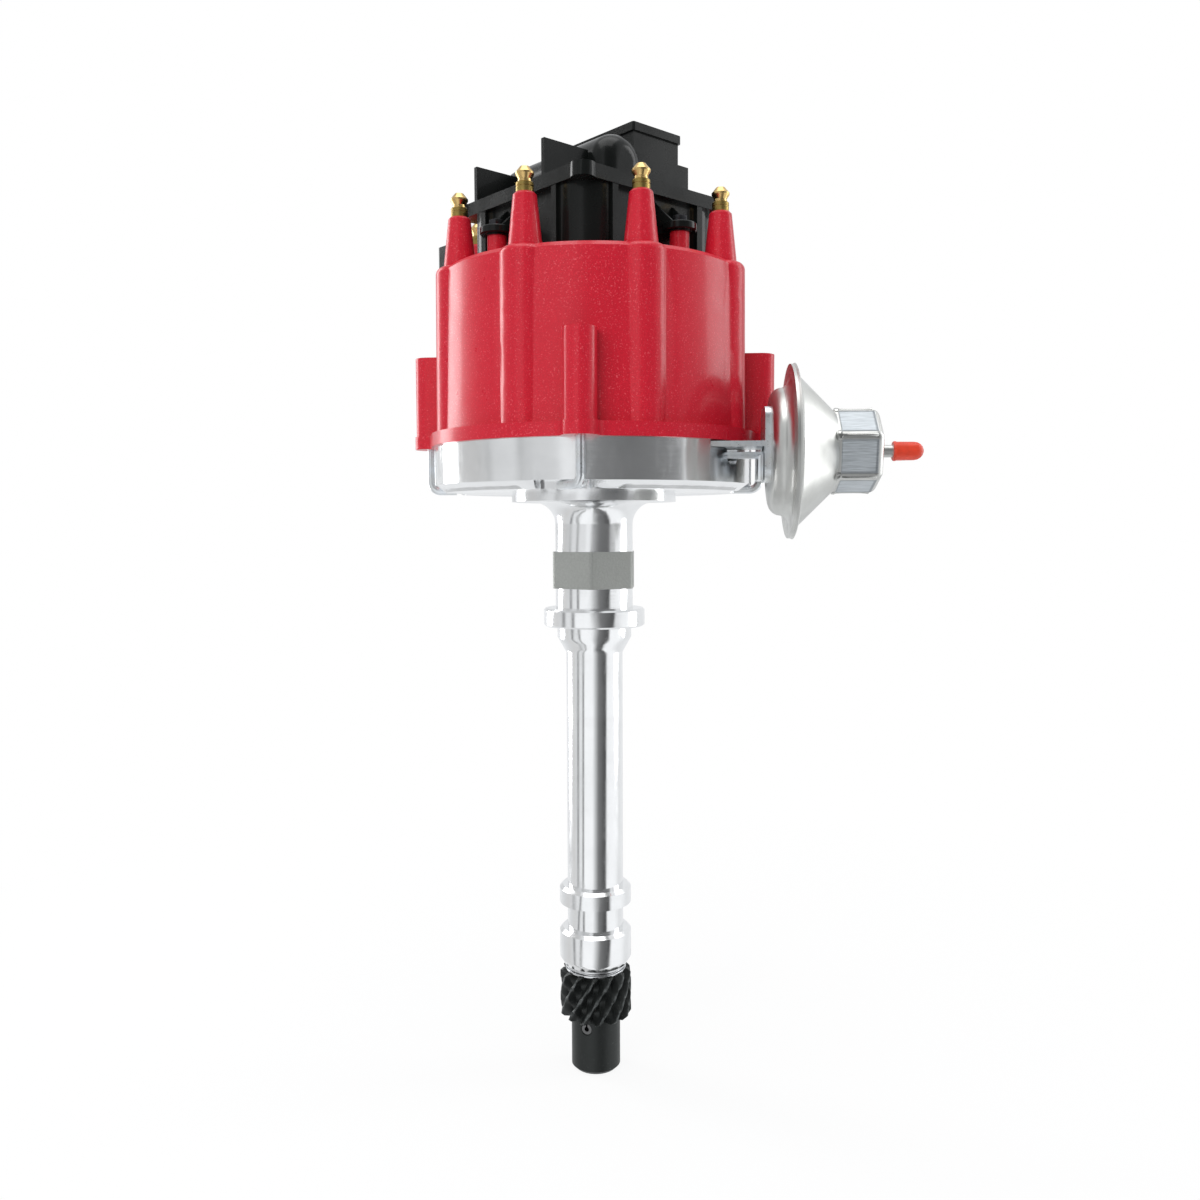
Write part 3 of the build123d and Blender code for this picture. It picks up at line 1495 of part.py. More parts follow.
with BuildPart() as diaphragm:
    with BuildSketch(across_plane(rim_x)):
        Circle(diaphragm_radius)
        Circle(rod_port_radius, mode=Mode.SUBTRACT)
    extrude(amount=diaphragm_thickness)
diaphragm.part.label = "diaphragm"
export_step(diaphragm.part, "parts/diaphragm.step")

with BuildPart() as pull_rod:
    # Two strips laid together, with an eye for the drag pin and a disc behind the diaphragm
    with BuildSketch(Plane.XY.offset(rod_z)):
        with Locations(((rod_end_x + disc_x) / 2, canister_y)):
            Rectangle(disc_x - rod_end_x, rod_width)
        with Locations((rod_end_x, canister_y)):
            Circle(drag_pin_radius + rod_hole_clearance + 2)
            Circle(drag_pin_radius + rod_hole_clearance, mode=Mode.SUBTRACT)
    extrude(amount=rod_thickness)
    with BuildSketch(Plane.XY.offset(rod_z + rod_thickness / 2 - 0.15)):
        with Locations(((rod_end_x + disc_x) / 2, canister_y)):
            with Locations((0, rod_width / 2), (0, -rod_width / 2)):
                Rectangle(disc_x - rod_end_x - 2 * rod_groove_end, rod_groove_width)
    extrude(amount=0.3, mode=Mode.SUBTRACT)
    with BuildSketch(across_plane(disc_x)):
        Circle(disc_radius)
    extrude(amount=1.2)
pull_rod.part.label = "pull_rod"
export_step(pull_rod.part, "parts/pull_rod.step")

with BuildPart() as diaphragm_spring:
    spring_start = (disc_x + 1.2, canister_y, canister_z)
    spring_run = hexagon_end_x - 2 * shell_wall - 1.2 - disc_x - 1.4
    add(coil_spring(spring_start, (1, 0, 0), 0.75 * disc_radius, 0.6, spring_run, 6))
diaphragm_spring.part.label = "diaphragm_spring"
export_step(diaphragm_spring.part, "parts/diaphragm_spring.step")

upright_x = canister_back_x - upright_thickness
foot_middle_y = (foot_front_y + foot_rear_y) / 2
foot_width = foot_rear_y - foot_front_y

with BuildPart() as canister_bracket:
    with BuildSketch(Plane.XY.offset(foot_bottom_z)):
        with Locations(((foot_start_x + canister_back_x) / 2, foot_middle_y)):
            RectangleRounded(canister_back_x - foot_start_x, foot_width, 1.2)
        with Locations(*bracket_bosses):
            Circle(bracket_screw_radius, mode=Mode.SUBTRACT)
    extrude(amount=foot_thickness)
    with BuildSketch(across_plane(upright_x)):
        with Locations((0, (foot_top_z + foot_bottom_z) / 2 - canister_z)):
            RectangleRounded(foot_width, 2 * upright_half_height, 5)
        Circle(rod_port_radius, mode=Mode.SUBTRACT)
    extrude(amount=upright_thickness)
canister_bracket.part.label = "canister_bracket"
export_step(canister_bracket.part, "parts/canister_bracket.step")

with BuildPart() as bracket_screws:
    with BuildSketch(Plane.XY.offset(foot_top_z)):
        with Locations(*bracket_bosses):
            Circle(bracket_screw_radius)
    extrude(amount=-foot_thickness - 6)
    with BuildSketch(Plane.XY.offset(foot_top_z)):
        with Locations(*bracket_bosses):
            Circle(bracket_screw_head)
    extrude(amount=1.8)
bracket_screws.part.label = "bracket_screws"
export_step(bracket_screws.part, "parts/bracket_screws.step")

# ---- Electronics in the bowl ----

module_far_y = sqrt(bowl_inner_radius**2 - (module_length / 2) ** 2) - module_wall_gap
module_near_y = pickup_plate_radius + module_pickup_gap
module_width = module_far_y - module_near_y
module_offset = (module_far_y + module_near_y) / 2
module_base_height = module_base_share * module_height
module_screw_spots = [
    (side * (module_length - module_ear_length) / 2, module_offset) for side in (-1, 1)
]

with BuildPart() as ignition_module:
    with BuildSketch(Plane.XY.offset(floor_z)):
        with Locations((0, module_offset)):
            RectangleRounded(module_length, module_width, 3)
    extrude(amount=module_base_height)
    with BuildSketch(Plane.XY.offset(floor_z + module_base_height)):
        with Locations((0, module_offset)):
            RectangleRounded(module_length - 2 * module_ear_length, module_width - 1, 2)
    extrude(amount=module_height - module_base_height)
    with BuildSketch(Plane.XY.offset(floor_z)):
        with Locations(*module_screw_spots):
            Circle(bracket_screw_radius)
    extrude(amount=module_height, mode=Mode.SUBTRACT)
ignition_module.part.label = "ignition_module"
export_step(ignition_module.part, "parts/ignition_module.step")

with BuildPart() as module_screws:
    with BuildSketch(Plane.XY.offset(floor_z)):
        with Locations(*module_screw_spots):
            Circle(bracket_screw_radius)
    extrude(amount=module_base_height)
    with BuildSketch(Plane.XY.offset(floor_z + module_base_height)):
        with Locations(*module_screw_spots):
            Circle(bracket_screw_head)
    extrude(amount=2)
module_screws.part.label = "module_screws"
export_step(module_screws.part, "parts/module_screws.step")

capacitor_x = -(pickup_plate_radius + bowl_inner_radius) / 2
capacitor_z = floor_z + capacitor_radius

with BuildPart() as capacitor:
    with BuildSketch(Plane.XZ):
        with Locations((capacitor_x, capacitor_z)):
            Circle(capacitor_radius)
    extrude(amount=capacitor_length / 2, both=True)
    chamfer(capacitor.edges(), 0.8)
capacitor.part.label = "capacitor"
export_step(capacitor.part, "parts/capacitor.step")

with BuildPart() as capacitor_clip:
    with BuildSketch(Plane.XZ):
        with Locations((capacitor_x, capacitor_z)):
            Circle(capacitor_radius + 1)
            Circle(capacitor_radius, mode=Mode.SUBTRACT)
            with Locations((0, -capacitor_radius)):
                Rectangle(3 * capacitor_radius, 2 * capacitor_radius, mode=Mode.SUBTRACT)
            with Locations(
                (capacitor_radius + 0.5, -capacitor_radius / 2),
                (-capacitor_radius - 0.5, -capacitor_radius / 2),
            ):
                Rectangle(1, capacitor_radius)
        with Locations((capacitor_x + capacitor_radius + 4, floor_z + 0.5)):
            Rectangle(7, 1)
    extrude(amount=5, both=True)
capacitor_clip.part.label = "capacitor_clip"
export_step(capacitor_clip.part, "parts/capacitor_clip.step")

with BuildPart() as harness_grommet:
    with BuildSketch(turned_plane(rim_z, grommet_angle)):
        Circle(bowl_radius + 1.6)
        Circle(bowl_inner_radius - 1.6, mode=Mode.SUBTRACT)
        with Locations((bowl_radius, 0)):
            Rectangle(6 * bowl_wall, grommet_width, mode=Mode.INTERSECT)
    extrude(amount=-grommet_height)
harness_grommet.part.label = "harness_grommet"
export_step(harness_grommet.part, "parts/harness_grommet.step")
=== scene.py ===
"""Finishes and fine detail for an ignition distributor with its coil in the cap.

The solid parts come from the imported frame. Each operator below models one piece or one group of
like pieces, or gives finishes, and main() calls them in order. Blender's unit is the metre, and a
length written in millimetres is multiplied by MM.
"""

import math

import bmesh
import bpy
from bpy.props import FloatProperty, FloatVectorProperty, PointerProperty
from mathutils import Matrix, Vector


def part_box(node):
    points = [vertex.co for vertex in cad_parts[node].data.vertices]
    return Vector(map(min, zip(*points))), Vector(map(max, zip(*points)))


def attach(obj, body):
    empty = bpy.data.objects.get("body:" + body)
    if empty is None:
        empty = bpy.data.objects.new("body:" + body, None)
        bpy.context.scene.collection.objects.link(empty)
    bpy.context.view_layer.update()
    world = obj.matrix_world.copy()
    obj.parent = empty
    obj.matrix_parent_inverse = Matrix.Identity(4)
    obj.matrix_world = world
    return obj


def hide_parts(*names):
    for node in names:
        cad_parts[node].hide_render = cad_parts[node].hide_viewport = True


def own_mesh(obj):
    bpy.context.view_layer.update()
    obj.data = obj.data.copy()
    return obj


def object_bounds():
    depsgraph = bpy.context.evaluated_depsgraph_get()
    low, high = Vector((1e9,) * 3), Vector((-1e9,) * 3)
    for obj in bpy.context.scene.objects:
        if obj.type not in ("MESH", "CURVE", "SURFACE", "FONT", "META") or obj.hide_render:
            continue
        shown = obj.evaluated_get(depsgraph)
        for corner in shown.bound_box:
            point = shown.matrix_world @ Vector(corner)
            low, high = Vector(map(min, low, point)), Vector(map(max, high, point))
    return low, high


bl_info = {
    "name": "Ignition distributor",
    "version": (1, 0, 0),
    "blender": (4, 5, 0),
    "location": "View3D > Sidebar > Distributor",
    "description": "Models and finishes an ignition distributor around its solid parts",
    "category": "Add Mesh",
}

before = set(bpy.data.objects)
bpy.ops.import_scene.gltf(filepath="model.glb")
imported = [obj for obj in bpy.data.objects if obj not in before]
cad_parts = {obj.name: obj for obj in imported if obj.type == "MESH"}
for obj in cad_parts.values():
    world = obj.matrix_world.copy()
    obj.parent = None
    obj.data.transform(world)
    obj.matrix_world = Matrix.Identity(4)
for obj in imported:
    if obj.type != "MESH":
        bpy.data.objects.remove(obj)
CAD_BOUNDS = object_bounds()
MM = 0.001
FULL_TURN = 2 * math.pi
MERGE_DISTANCE = 0.001 * MM


# ---- Places on the solid parts ----

# The housing's unmachined hexagon: the heights of its ends, and a radius just inside its flats
HEXAGON_LOW = 17.0 * MM
HEXAGON_HIGH = 33.2 * MM
HEXAGON_INSIDE = 17.22 * MM

# The latches, and the plug terminals: the circle they stand on, the first one's angle, their height
LATCH_COUNT = 4
PLUG_COUNT = 8
PLUG_CIRCLE = 59.0 * MM
FIRST_PLUG = math.radians(-67.5)
TERMINAL_HEIGHT = 9.9 * MM

# The coil cover, in millimetres along its own sides: each screw ear's middle and the way it points,
# the height of the ears, and how far the walls stand from the shaft's axis
COVER_EARS = ((5.4, -47.7, (0, -1)), (-47.7, 5.4, (-1, 0)), (47.7, -5.4, (1, 0)))
EAR_TOP = 166.9
COVER_WALL = 38.4

# The canister's axis, in y and z, and its hexagonal end: the turn of one flat from +Y to +Z, the
# distance from the axis to the outside of its rounded corners, and the radius of that rounding
CANISTER_AXIS = (-36 * MM, 74 * MM)
HEXAGON_SIDES = 6
SIXTH_TURN = FULL_TURN / HEXAGON_SIDES
FLAT_TURN = math.radians(11.1)
CREASE_RADIUS = 16.45 * MM
CORNER_ROUND = 4.0 * MM


# ---- Sizes and colours that a user would change ----


def colour(name, description, default):
    """A colour property."""
    return FloatVectorProperty(
        name=name, description=description, subtype="COLOR", size=3, min=0, max=1, default=default
    )


def millimetres(name, description, default):
    """A length property, given in millimetres and kept in metres."""
    return FloatProperty(
        name=name, description=description, unit="LENGTH", precision=5, min=0, default=default * MM
    )


class DistributorColours(bpy.types.PropertyGroup):
    """Colours of the finishes."""

    cap: colour("Cap", "Moulded plastic of the cap", (0.60, 0.012, 0.030))
    cover: colour("Cover", "Moulded plastic of the coil cover", (0.006, 0.007, 0.0065))
    brass: colour("Brass", "Turned brass of the plug terminals", (0.72, 0.50, 0.20))
    aluminium: colour("Aluminium", "Machined aluminium of the housing", (0.90, 0.905, 0.91))
    blasted: colour("Blasted", "Unmachined flats of the housing's hexagon", (0.39, 0.40, 0.38))
    zinc: colour("Zinc", "Zinc plate on the latches and bracket", (0.82, 0.86, 0.90))
    canister: colour("Canister", "Drawn shells of the vacuum canister", (0.62, 0.625, 0.605))
    gear: colour("Gear", "Black oxide on the drive gear", (0.027, 0.030, 0.029))
    nipple_cap: colour("Nipple cap", "Rubber cap on the vacuum nipple", (0.78, 0.055, 0.02))


class DistributorSizes(bpy.types.PropertyGroup):
    """Sizes of the fine detail."""

    cap_grain: millimetres("Cap grain", "Size of the speckle in the cap's plastic", 0.45)
    turning_pitch: millimetres("Turning pitch", "Pitch of the tool marks on turned metal", 0.35)


def sizes():
    """The size properties in the scene."""
    return bpy.context.scene.distributor_sizes


def colours():
    """The colour properties in the scene."""
    return bpy.context.scene.distributor_colours


# ---- Node tools ----


# Short names of the Principled shader's sockets
SOCKETS = {
    "base_color": "Base Color",
    "metallic": "Metallic",
    "roughness": "Roughness",
    "normal": "Normal",
    "coat_weight": "Coat Weight",
    "coat_roughness": "Coat Roughness",
    "specular": "Specular IOR Level",
}


class Shader:
    """A material under construction: a Principled shader and what feeds it."""

    def __init__(self, name):
        self.material = bpy.data.materials.new(name)
        self.material.use_nodes = True
        self.tree = self.material.node_tree
        self.tree.nodes.clear()
        self.output = self.tree.nodes.new("ShaderNodeOutputMaterial")
        self.surface = self.tree.nodes.new("ShaderNodeBsdfPrincipled")
        self.tree.links.new(self.surface.outputs[0], self.output.inputs["Surface"])
        self.place = self.add("ShaderNodeTexCoord").outputs["Object"]

    def add(self, kind, **settings):
        """A node of a kind with its settings."""
        node = self.tree.nodes.new(kind)
        for key, value in settings.items():
            setattr(node, key, value)
        return node

    def feed(self, socket, value):
        """Links a node's output to a socket, or sets the socket to a number or a colour."""
        if isinstance(value, bpy.types.NodeSocket):
            self.tree.links.new(value, socket)
        elif isinstance(value, tuple):
            socket.default_value = (*value, 1)
        else:
            socket.default_value = value

    def set(self, **values):
        """Sets the Principled shader's sockets by their short names in SOCKETS."""
        for key, value in values.items():
            self.feed(self.surface.inputs[SOCKETS[key]], value)

    def now(self, key):
        """What a Principled socket has so far: the output linked to it, or its own value."""
        socket = self.surface.inputs[SOCKETS[key]]
        return socket.links[0].from_socket if socket.links else socket.default_value

    def spread(self, size, stretch=(1, 1, 1)):
        """Object coordinates divided by a size, in metres, and stretched along each axis."""
        node = self.add("ShaderNodeMapping")
        self.feed(node.inputs["Vector"], self.place)
        node.inputs["Scale"].default_value = [1 / (size * s) for s in stretch]
        return node.outputs[0]

    def noise(self, size, stretch=(1, 1, 1), detail=3, roughness=0.5):
        """Smooth noise with features of about a size."""
        node = self.add("ShaderNodeTexNoise")
        self.feed(node.inputs["Vector"], self.spread(size, stretch))
        self.feed(node.inputs["Scale"], 1.0)
        self.feed(node.inputs["Detail"], detail)
        self.feed(node.inputs["Roughness"], roughness)
        return node.outputs[0]

    def span(self, value, low, high, to_low=0.0, to_high=1.0):
        """A value's range mapped to another, held at its ends."""
        node = self.add("ShaderNodeMapRange", clamp=True)
        for socket, number in zip(node.inputs, (value, low, high, to_low, to_high)):
            self.feed(socket, number)
        return node.outputs[0]

    def calc(self, operation, a, b=0.0):
        """Arithmetic on two values."""
        node = self.add("ShaderNodeMath", operation=operation)
        self.feed(node.inputs[0], a)
        self.feed(node.inputs[1], b)
        return node.outputs[0]

    def blend(self, share, a, b):
        """Two colours mixed by a share."""
        node = self.add("ShaderNodeMix", data_type="RGBA")
        self.feed(node.inputs[0], share)
        self.feed(node.inputs[6], a)
        self.feed(node.inputs[7], b)
        return node.outputs[2]

    def mix(self, share, a, b):
        """Two numbers mixed by a share."""
        node = self.add("ShaderNodeMix", data_type="FLOAT")
        self.feed(node.inputs[0], share)
        self.feed(node.inputs[2], a)
        self.feed(node.inputs[3], b)
        return node.outputs[0]

    def axis(self, letter):
        """One object coordinate, in metres."""
        node = self.add("ShaderNodeSeparateXYZ")
        self.feed(node.inputs[0], self.place)
        return node.outputs[letter]

    def radius(self):
        """Distance from the shaft's axis."""
        squares = [self.calc("MULTIPLY", part, part) for part in (self.axis("X"), self.axis("Y"))]
        return self.calc("SQRT", self.calc("ADD", *squares))

    def bump(self, height, depth, strength=1.0, under=None):
        """Relief of a depth in metres."""
        node = self.add("ShaderNodeBump")
        self.feed(node.inputs["Strength"], strength)
        self.feed(node.inputs["Distance"], depth)
        self.feed(node.inputs["Height"], height)
        if under is not None:
            self.feed(node.inputs["Normal"], under)
        return node.outputs[0]


def shade(base, factor):
    """A colour made lighter or darker."""
    return tuple(min(1.0, c * factor) for c in base)


# ---- Finishes ----


def moulded_cap():
    """Red plastic with a fine pearl speckle and a soft gloss."""
    s = Shader("moulded_cap")
    base = tuple(colours().cap)
    grain = s.noise(sizes().cap_grain, detail=2, roughness=0.7)
    cloud = s.noise(28 * MM, detail=2)
    speck = s.noise(1.4 * sizes().cap_grain, detail=1)
    mottled = s.blend(s.span(grain, 0.38, 0.66), shade(base, 0.84), shade(base, 1.1))
    mottled = s.blend(s.span(speck, 0.62, 0.72, 0, 0.5), mottled, (0.86, 0.16, 0.19))
    s.set(
        base_color=s.blend(s.span(cloud, 0.3, 0.7, 0, 0.35), mottled, shade(base, 0.93)),
        roughness=s.span(s.noise(9 * MM), 0.3, 0.7, 0.27, 0.36),
        specular=0.25,
        coat_weight=0.18,
        coat_roughness=0.10,
        normal=s.bump(grain, 0.010 * MM),
    )
    return s.material


def moulded_cover():
    """Black plastic: satin, with a faint grain and polished patches."""
    s = Shader("moulded_cover")
    base = tuple(colours().cover)
    grain = s.noise(0.5 * MM, detail=3, roughness=0.65)
    s.set(
        base_color=s.blend(grain, shade(base, 0.8), shade(base, 1.25)),
        roughness=s.span(s.noise(14 * MM), 0.35, 0.65, 0.20, 0.30),
        specular=0.16,
        coat_weight=0.12,
        coat_roughness=0.05,
        normal=s.bump(grain, 0.006 * MM),
    )
    return s.material


def turned_metal(name, base, rough, pitch, marks=0.006, tint=0.94):
    """Metal turned about the shaft's axis, with fine rings and faint staining.

    It gives the shader, so that a finish can go on from it. The marks' depth is in millimetres, and
    the tint is the tone of the stains.
    """
    s = Shader(name)
    rings = s.noise(pitch, stretch=(60, 60, 1), detail=2)
    stain = s.noise(16 * MM, stretch=(1, 1, 0.6), detail=4)
    smear = s.noise(5 * MM, stretch=(1, 1, 3.5), detail=4, roughness=0.6)
    stained = s.blend(s.span(smear, 0.45, 0.7), shade(base, tint), base)
    ringed = s.span(rings, 0.3, 0.7, rough * 0.8, rough * 1.2)
    s.set(
        base_color=s.blend(s.span(stain, 0.4, 0.7), base, stained),
        metallic=1.0,
        roughness=s.calc("ADD", ringed, s.span(smear, 0.45, 0.75, 0, rough)),
        normal=s.bump(rings, marks * MM),
    )
    return s


def machined_housing():
    """Bright machined aluminium, with the hexagon's flats left blasted and grey."""
    s = turned_metal("machined_housing", tuple(colours().aluminium), 0.13, sizes().turning_pitch)
    blasted = tuple(colours().blasted)
    sand = s.noise(0.9 * MM, detail=4, roughness=0.75)
    border = 0.05 * MM
    above = s.span(s.axis("Z"), HEXAGON_LOW, HEXAGON_LOW + border)
    below = s.span(s.axis("Z"), HEXAGON_HIGH - border, HEXAGON_HIGH, 1, 0)
    outside = s.span(s.radius(), HEXAGON_INSIDE, HEXAGON_INSIDE + 0.03 * MM)
    band = s.calc("MULTIPLY", s.calc("MULTIPLY", above, below), outside)
    grey = s.blend(sand, shade(blasted, 0.8), shade(blasted, 1.25))
    pitted = s.bump(s.calc("MULTIPLY", sand, band), 0.16 * MM, under=s.now("normal"))
    s.set(
        base_color=s.blend(band, s.now("base_color"), grey),
        roughness=s.mix(band, s.now("roughness"), 0.62),
        metallic=s.mix(band, s.now("metallic"), 0.55),
        normal=pitted,
    )
    return s.material


def turned_brass():
    """Bright turned brass."""
    base = tuple(colours().brass)
    return turned_metal("turned_brass", base, 0.22, 0.3 * MM, marks=0.01, tint=0.85).material


def plated_zinc():
    """Zinc plate with a faint blue cast."""
    s = Shader("plated_zinc")
    base = tuple(colours().zinc)
    cloud = s.noise(6 * MM, detail=4)
    s.set(
        base_color=s.blend(s.span(cloud, 0.35, 0.7), base, (0.74, 0.75, 0.74)),
        metallic=1.0,
        roughness=s.span(s.noise(1.2 * MM, detail=3), 0.3, 0.7, 0.26, 0.38),
        normal=s.bump(s.noise(0.8 * MM, detail=3), 0.01 * MM),
    )
    return s.material


def drawn_canister():
    """Plated shells: satin, with brushed grey panels on the flats of the hexagonal end, and a dark
    line of painted shade round each panel's sunk edge.
    """
    s = Shader("drawn_canister")
    base = tuple(colours().canister)
    cloud = s.noise(11 * MM, stretch=(0.7, 1, 1), detail=4)
    brushed = s.noise(0.5 * MM, stretch=(14, 0.6, 0.6), detail=3)
    middle_y, middle_z = CANISTER_AXIS
    up = s.calc("SUBTRACT", s.axis("Z"), middle_z)
    aside = s.calc("SUBTRACT", s.axis("Y"), middle_y)
    turn = s.calc("ARCTAN2", up, aside)
    # Angle from the middle of the nearest flat, half a sixth of a turn at a corner
    from_flat = s.calc("PINGPONG", s.calc("ADD", turn, FULL_TURN - FLAT_TURN), SIXTH_TURN / 2)
    along = s.axis("X")

    def within(angle, low, high):
        """1 within an angle of a flat's middle, in degrees, and between two places along the
        axis, in millimetres."""
        across = s.span(from_flat, math.radians(angle), math.radians(angle + 2), 1, 0)
        start = s.span(along, low * MM, (low + 0.4) * MM)
        finish = s.span(along, high * MM, (high + 0.5) * MM, 1, 0)
        return s.calc("MULTIPLY", across, s.calc("MULTIPLY", start, finish))

    panel = within(23, 100.6, 114.9)
    # A thin band just inside each panel's edge, where the panel is sunk, is painted shade
    painted_shade_rim = s.calc("SUBTRACT", panel, within(20.5, 100.9, 113.9))
    grey = s.blend(s.span(brushed, 0.3, 0.7), (0.36, 0.39, 0.41), (0.62, 0.66, 0.69))
    plated = s.blend(s.span(cloud, 0.35, 0.7), base, shade(base, 0.86))
    satin = s.span(cloud, 0.3, 0.7, 0.30, 0.42)
    s.set(
        # The band round each panel is darkened half way to near black, as painted shade
        base_color=s.blend(
            s.calc("MULTIPLY", painted_shade_rim, 0.5), s.blend(panel, plated, grey), (0.10, 0.11, 0.12)
        ),
        metallic=s.span(panel, 0, 1, 1.0, 0.65),
        roughness=s.calc("ADD", satin, s.span(panel, 0, 1, 0, 0.1)),
        normal=s.bump(panel, -0.3 * MM, under=s.bump(brushed, 0.008 * MM, strength=0.6)),
    )
    return s.material


def oxide_gear():
    """Black oxide, with a painted highlight of lighter grey along the crests of the teeth, in
    scuffed patches, and a few scratches.
    """
    s = Shader("oxide_gear")
    base = tuple(colours().gear)
    scuff = s.noise(1.6 * MM, detail=5, roughness=0.65)
    # Painted highlight: the crests of the teeth are painted lighter grey
    crest_highlight = s.span(s.radius(), 15.6 * MM, 16.1 * MM)
    scratch = s.span(s.noise(1.1 * MM, stretch=(1, 1, 0.35), detail=2), 0.70, 0.74, 0, 0.5)
    # The painted highlight on the crests, in scuffed patches, together with real scratches
    highlight_and_wear = s.calc("MAXIMUM", s.calc("MULTIPLY", crest_highlight, s.span(scuff, 0.35, 0.75)), scratch)
    black = s.blend(scuff, shade(base, 0.85), shade(base, 1.2))
    s.set(
        base_color=s.blend(highlight_and_wear, black, (0.16, 0.17, 0.17)),
        metallic=0.6,
        roughness=s.span(scuff, 0.3, 0.7, 0.42, 0.5),
        normal=s.bump(scuff, 0.008 * MM),
    )
    return s.material


def soft_rubber(name, base, rough=0.5):
    """Moulded rubber with a fine bloom."""
    s = Shader(name)
    bloom = s.noise(2.2 * MM, detail=4)
    s.set(
        base_color=s.blend(s.span(bloom, 0.35, 0.7), base, shade(base, 0.85)),
        roughness=s.span(bloom, 0.3, 0.7, rough - 0.06, rough + 0.08),
        normal=s.bump(s.noise(0.4 * MM), 0.01 * MM),
    )
    return s.material


def plain_metal(name, base, rough):
    """Pressed or drawn metal with a fine grain."""
    s = Shader(name)
    grain = s.noise(0.7 * MM, detail=4, roughness=0.6)
    stain = s.noise(8 * MM, detail=3)
    s.set(
        base_color=s.blend(s.span(stain, 0.35, 0.7), base, shade(base, 0.84)),
        metallic=1.0,
        roughness=s.span(grain, 0.3, 0.7, rough * 0.8, rough * 1.2),
        normal=s.bump(grain, 0.008 * MM),
    )
    return s.material


def plain_moulding(name, base, rough):
    """Moulded plastic with a fine grain."""
    s = Shader(name)
    grain = s.noise(0.5 * MM, detail=3, roughness=0.6)
    s.set(
        base_color=s.blend(grain, shade(base, 0.85), shade(base, 1.15)),
        roughness=s.span(s.noise(7 * MM), 0.3, 0.7, rough - 0.05, rough + 0.07),
        normal=s.bump(grain, 0.01 * MM),
    )
    return s.material


def banded(name, pitch, dark, pale, metallic, rough, depth):
    """Metal in even level bands, such as wire or sheets, one above the other."""
    s = Shader(name)
    bands = s.add("ShaderNodeTexWave", wave_type="BANDS", bands_direction="Z")
    s.feed(bands.inputs["Vector"], s.spread(pitch))
    s.feed(bands.inputs["Scale"], 1.0)
    s.set(
        base_color=s.blend(bands.outputs[1], dark, pale),
        metallic=metallic,
        roughness=rough,
        normal=s.bump(bands.outputs[1], depth),
    )
    return s.material


def wound_copper():
    """Enamelled wire wound round the shaft's axis."""
    dark, pale = (0.30, 0.09, 0.03), (0.62, 0.26, 0.11)
    return banded("wound_copper", 0.6 * MM, dark, pale, 0.85, 0.35, 0.1 * MM)


def laminated_core():
    """Stacked silicon steel sheets."""
    dark, pale = (0.10, 0.10, 0.11), (0.24, 0.24, 0.25)
    return banded("laminated_core", 1.4 * MM, dark, pale, 0.9, 0.5, 0.08 * MM)


def node_finishes():
    """Which finish each solid part takes, by the part's name."""
    steel = plain_metal("pressed_steel", (0.46, 0.47, 0.48), 0.34)
    screw = plain_metal("screw_steel", (0.58, 0.60, 0.62), 0.3)
    wire = plain_metal("spring_wire", (0.36, 0.36, 0.37), 0.32)
    dark_steel = plain_metal("blackened_pin", (0.20, 0.20, 0.20), 0.4)
    black = plain_moulding("rotor_moulding", (0.018, 0.018, 0.02), 0.34)
    brass = turned_brass()
    zinc = plated_zinc()
    canister = drawn_canister()
    bronze = plain_metal("sintered_bronze", (0.36, 0.22, 0.10), 0.55)
    dark_rubber = soft_rubber("dark_rubber", (0.02, 0.02, 0.02), 0.6)
    finishes = {
        "housing": machined_housing(),
        "cap": moulded_cap(),
        "coil_cover": moulded_cover(),
        "drive_gear": oxide_gear(),
        "canister_rear": canister,
        "canister_front": canister,
        "vacuum_cap": soft_rubber("nipple_cap_rubber", tuple(colours().nipple_cap), 0.4),
        "main_shaft": turned_metal("ground_shaft", (0.56, 0.57, 0.58), 0.25, 0.4 * MM).material,
        "thrust_washers": turned_metal("washer_steel", (0.62, 0.63, 0.64), 0.3, 0.3 * MM).material,
        "pickup_coil": wound_copper(),
        "pickup_magnet": plain_moulding("ferrite", (0.03, 0.028, 0.028), 0.6),
        "coil_core": laminated_core(),
        "coil_winding": plain_moulding("winding_resin", (0.02, 0.016, 0.014), 0.3),
        "carbon_button": plain_moulding("carbon", (0.02, 0.02, 0.021), 0.5),
        "ignition_module": plain_moulding("module_moulding", (0.03, 0.03, 0.033), 0.5),
        "capacitor": plain_metal("capacitor_can", (0.66, 0.67, 0.68), 0.3),
    }
    like = {
        steel: "advance_cam cam_retainer trigger_wheel weight_plate pickup_plate pole_piece "
        "capacitor_clip",
        screw: "bracket_screws cover_screws coil_screws module_screws rotor_screws",
        wire: "latch_springs carbon_spring diaphragm_spring advance_springs",
        dark_steel: "roll_pin",
        black: "rotor",
        brass: "rotor_blade connector_blades",
        zinc: "canister_bracket pull_rod advance_weight_1 advance_weight_2",
        bronze: "lower_bushing upper_bushing",
        dark_rubber: "coil_seal harness_grommet diaphragm",
    }
    for finish, names in like.items():
        for name in names.split():
            finishes[name] = finish
    for number in range(1, PLUG_COUNT + 1):
        finishes[f"plug_terminal_{number}"] = brass
    for number in range(1, LATCH_COUNT + 1):
        finishes[f"latch_hook_{number}"] = zinc
    return finishes


# Width of the rounding on the solid parts' sharp edges, in millimetres
ROUNDED_EDGES = {
    "cap": 0.45,
    "coil_cover": 0.4,
    "housing": 0.18,
    "canister_bracket": 0.3,
    "canister_front": 0.25,
    "pull_rod": 0.2,
    "drive_gear": 0.12,
}


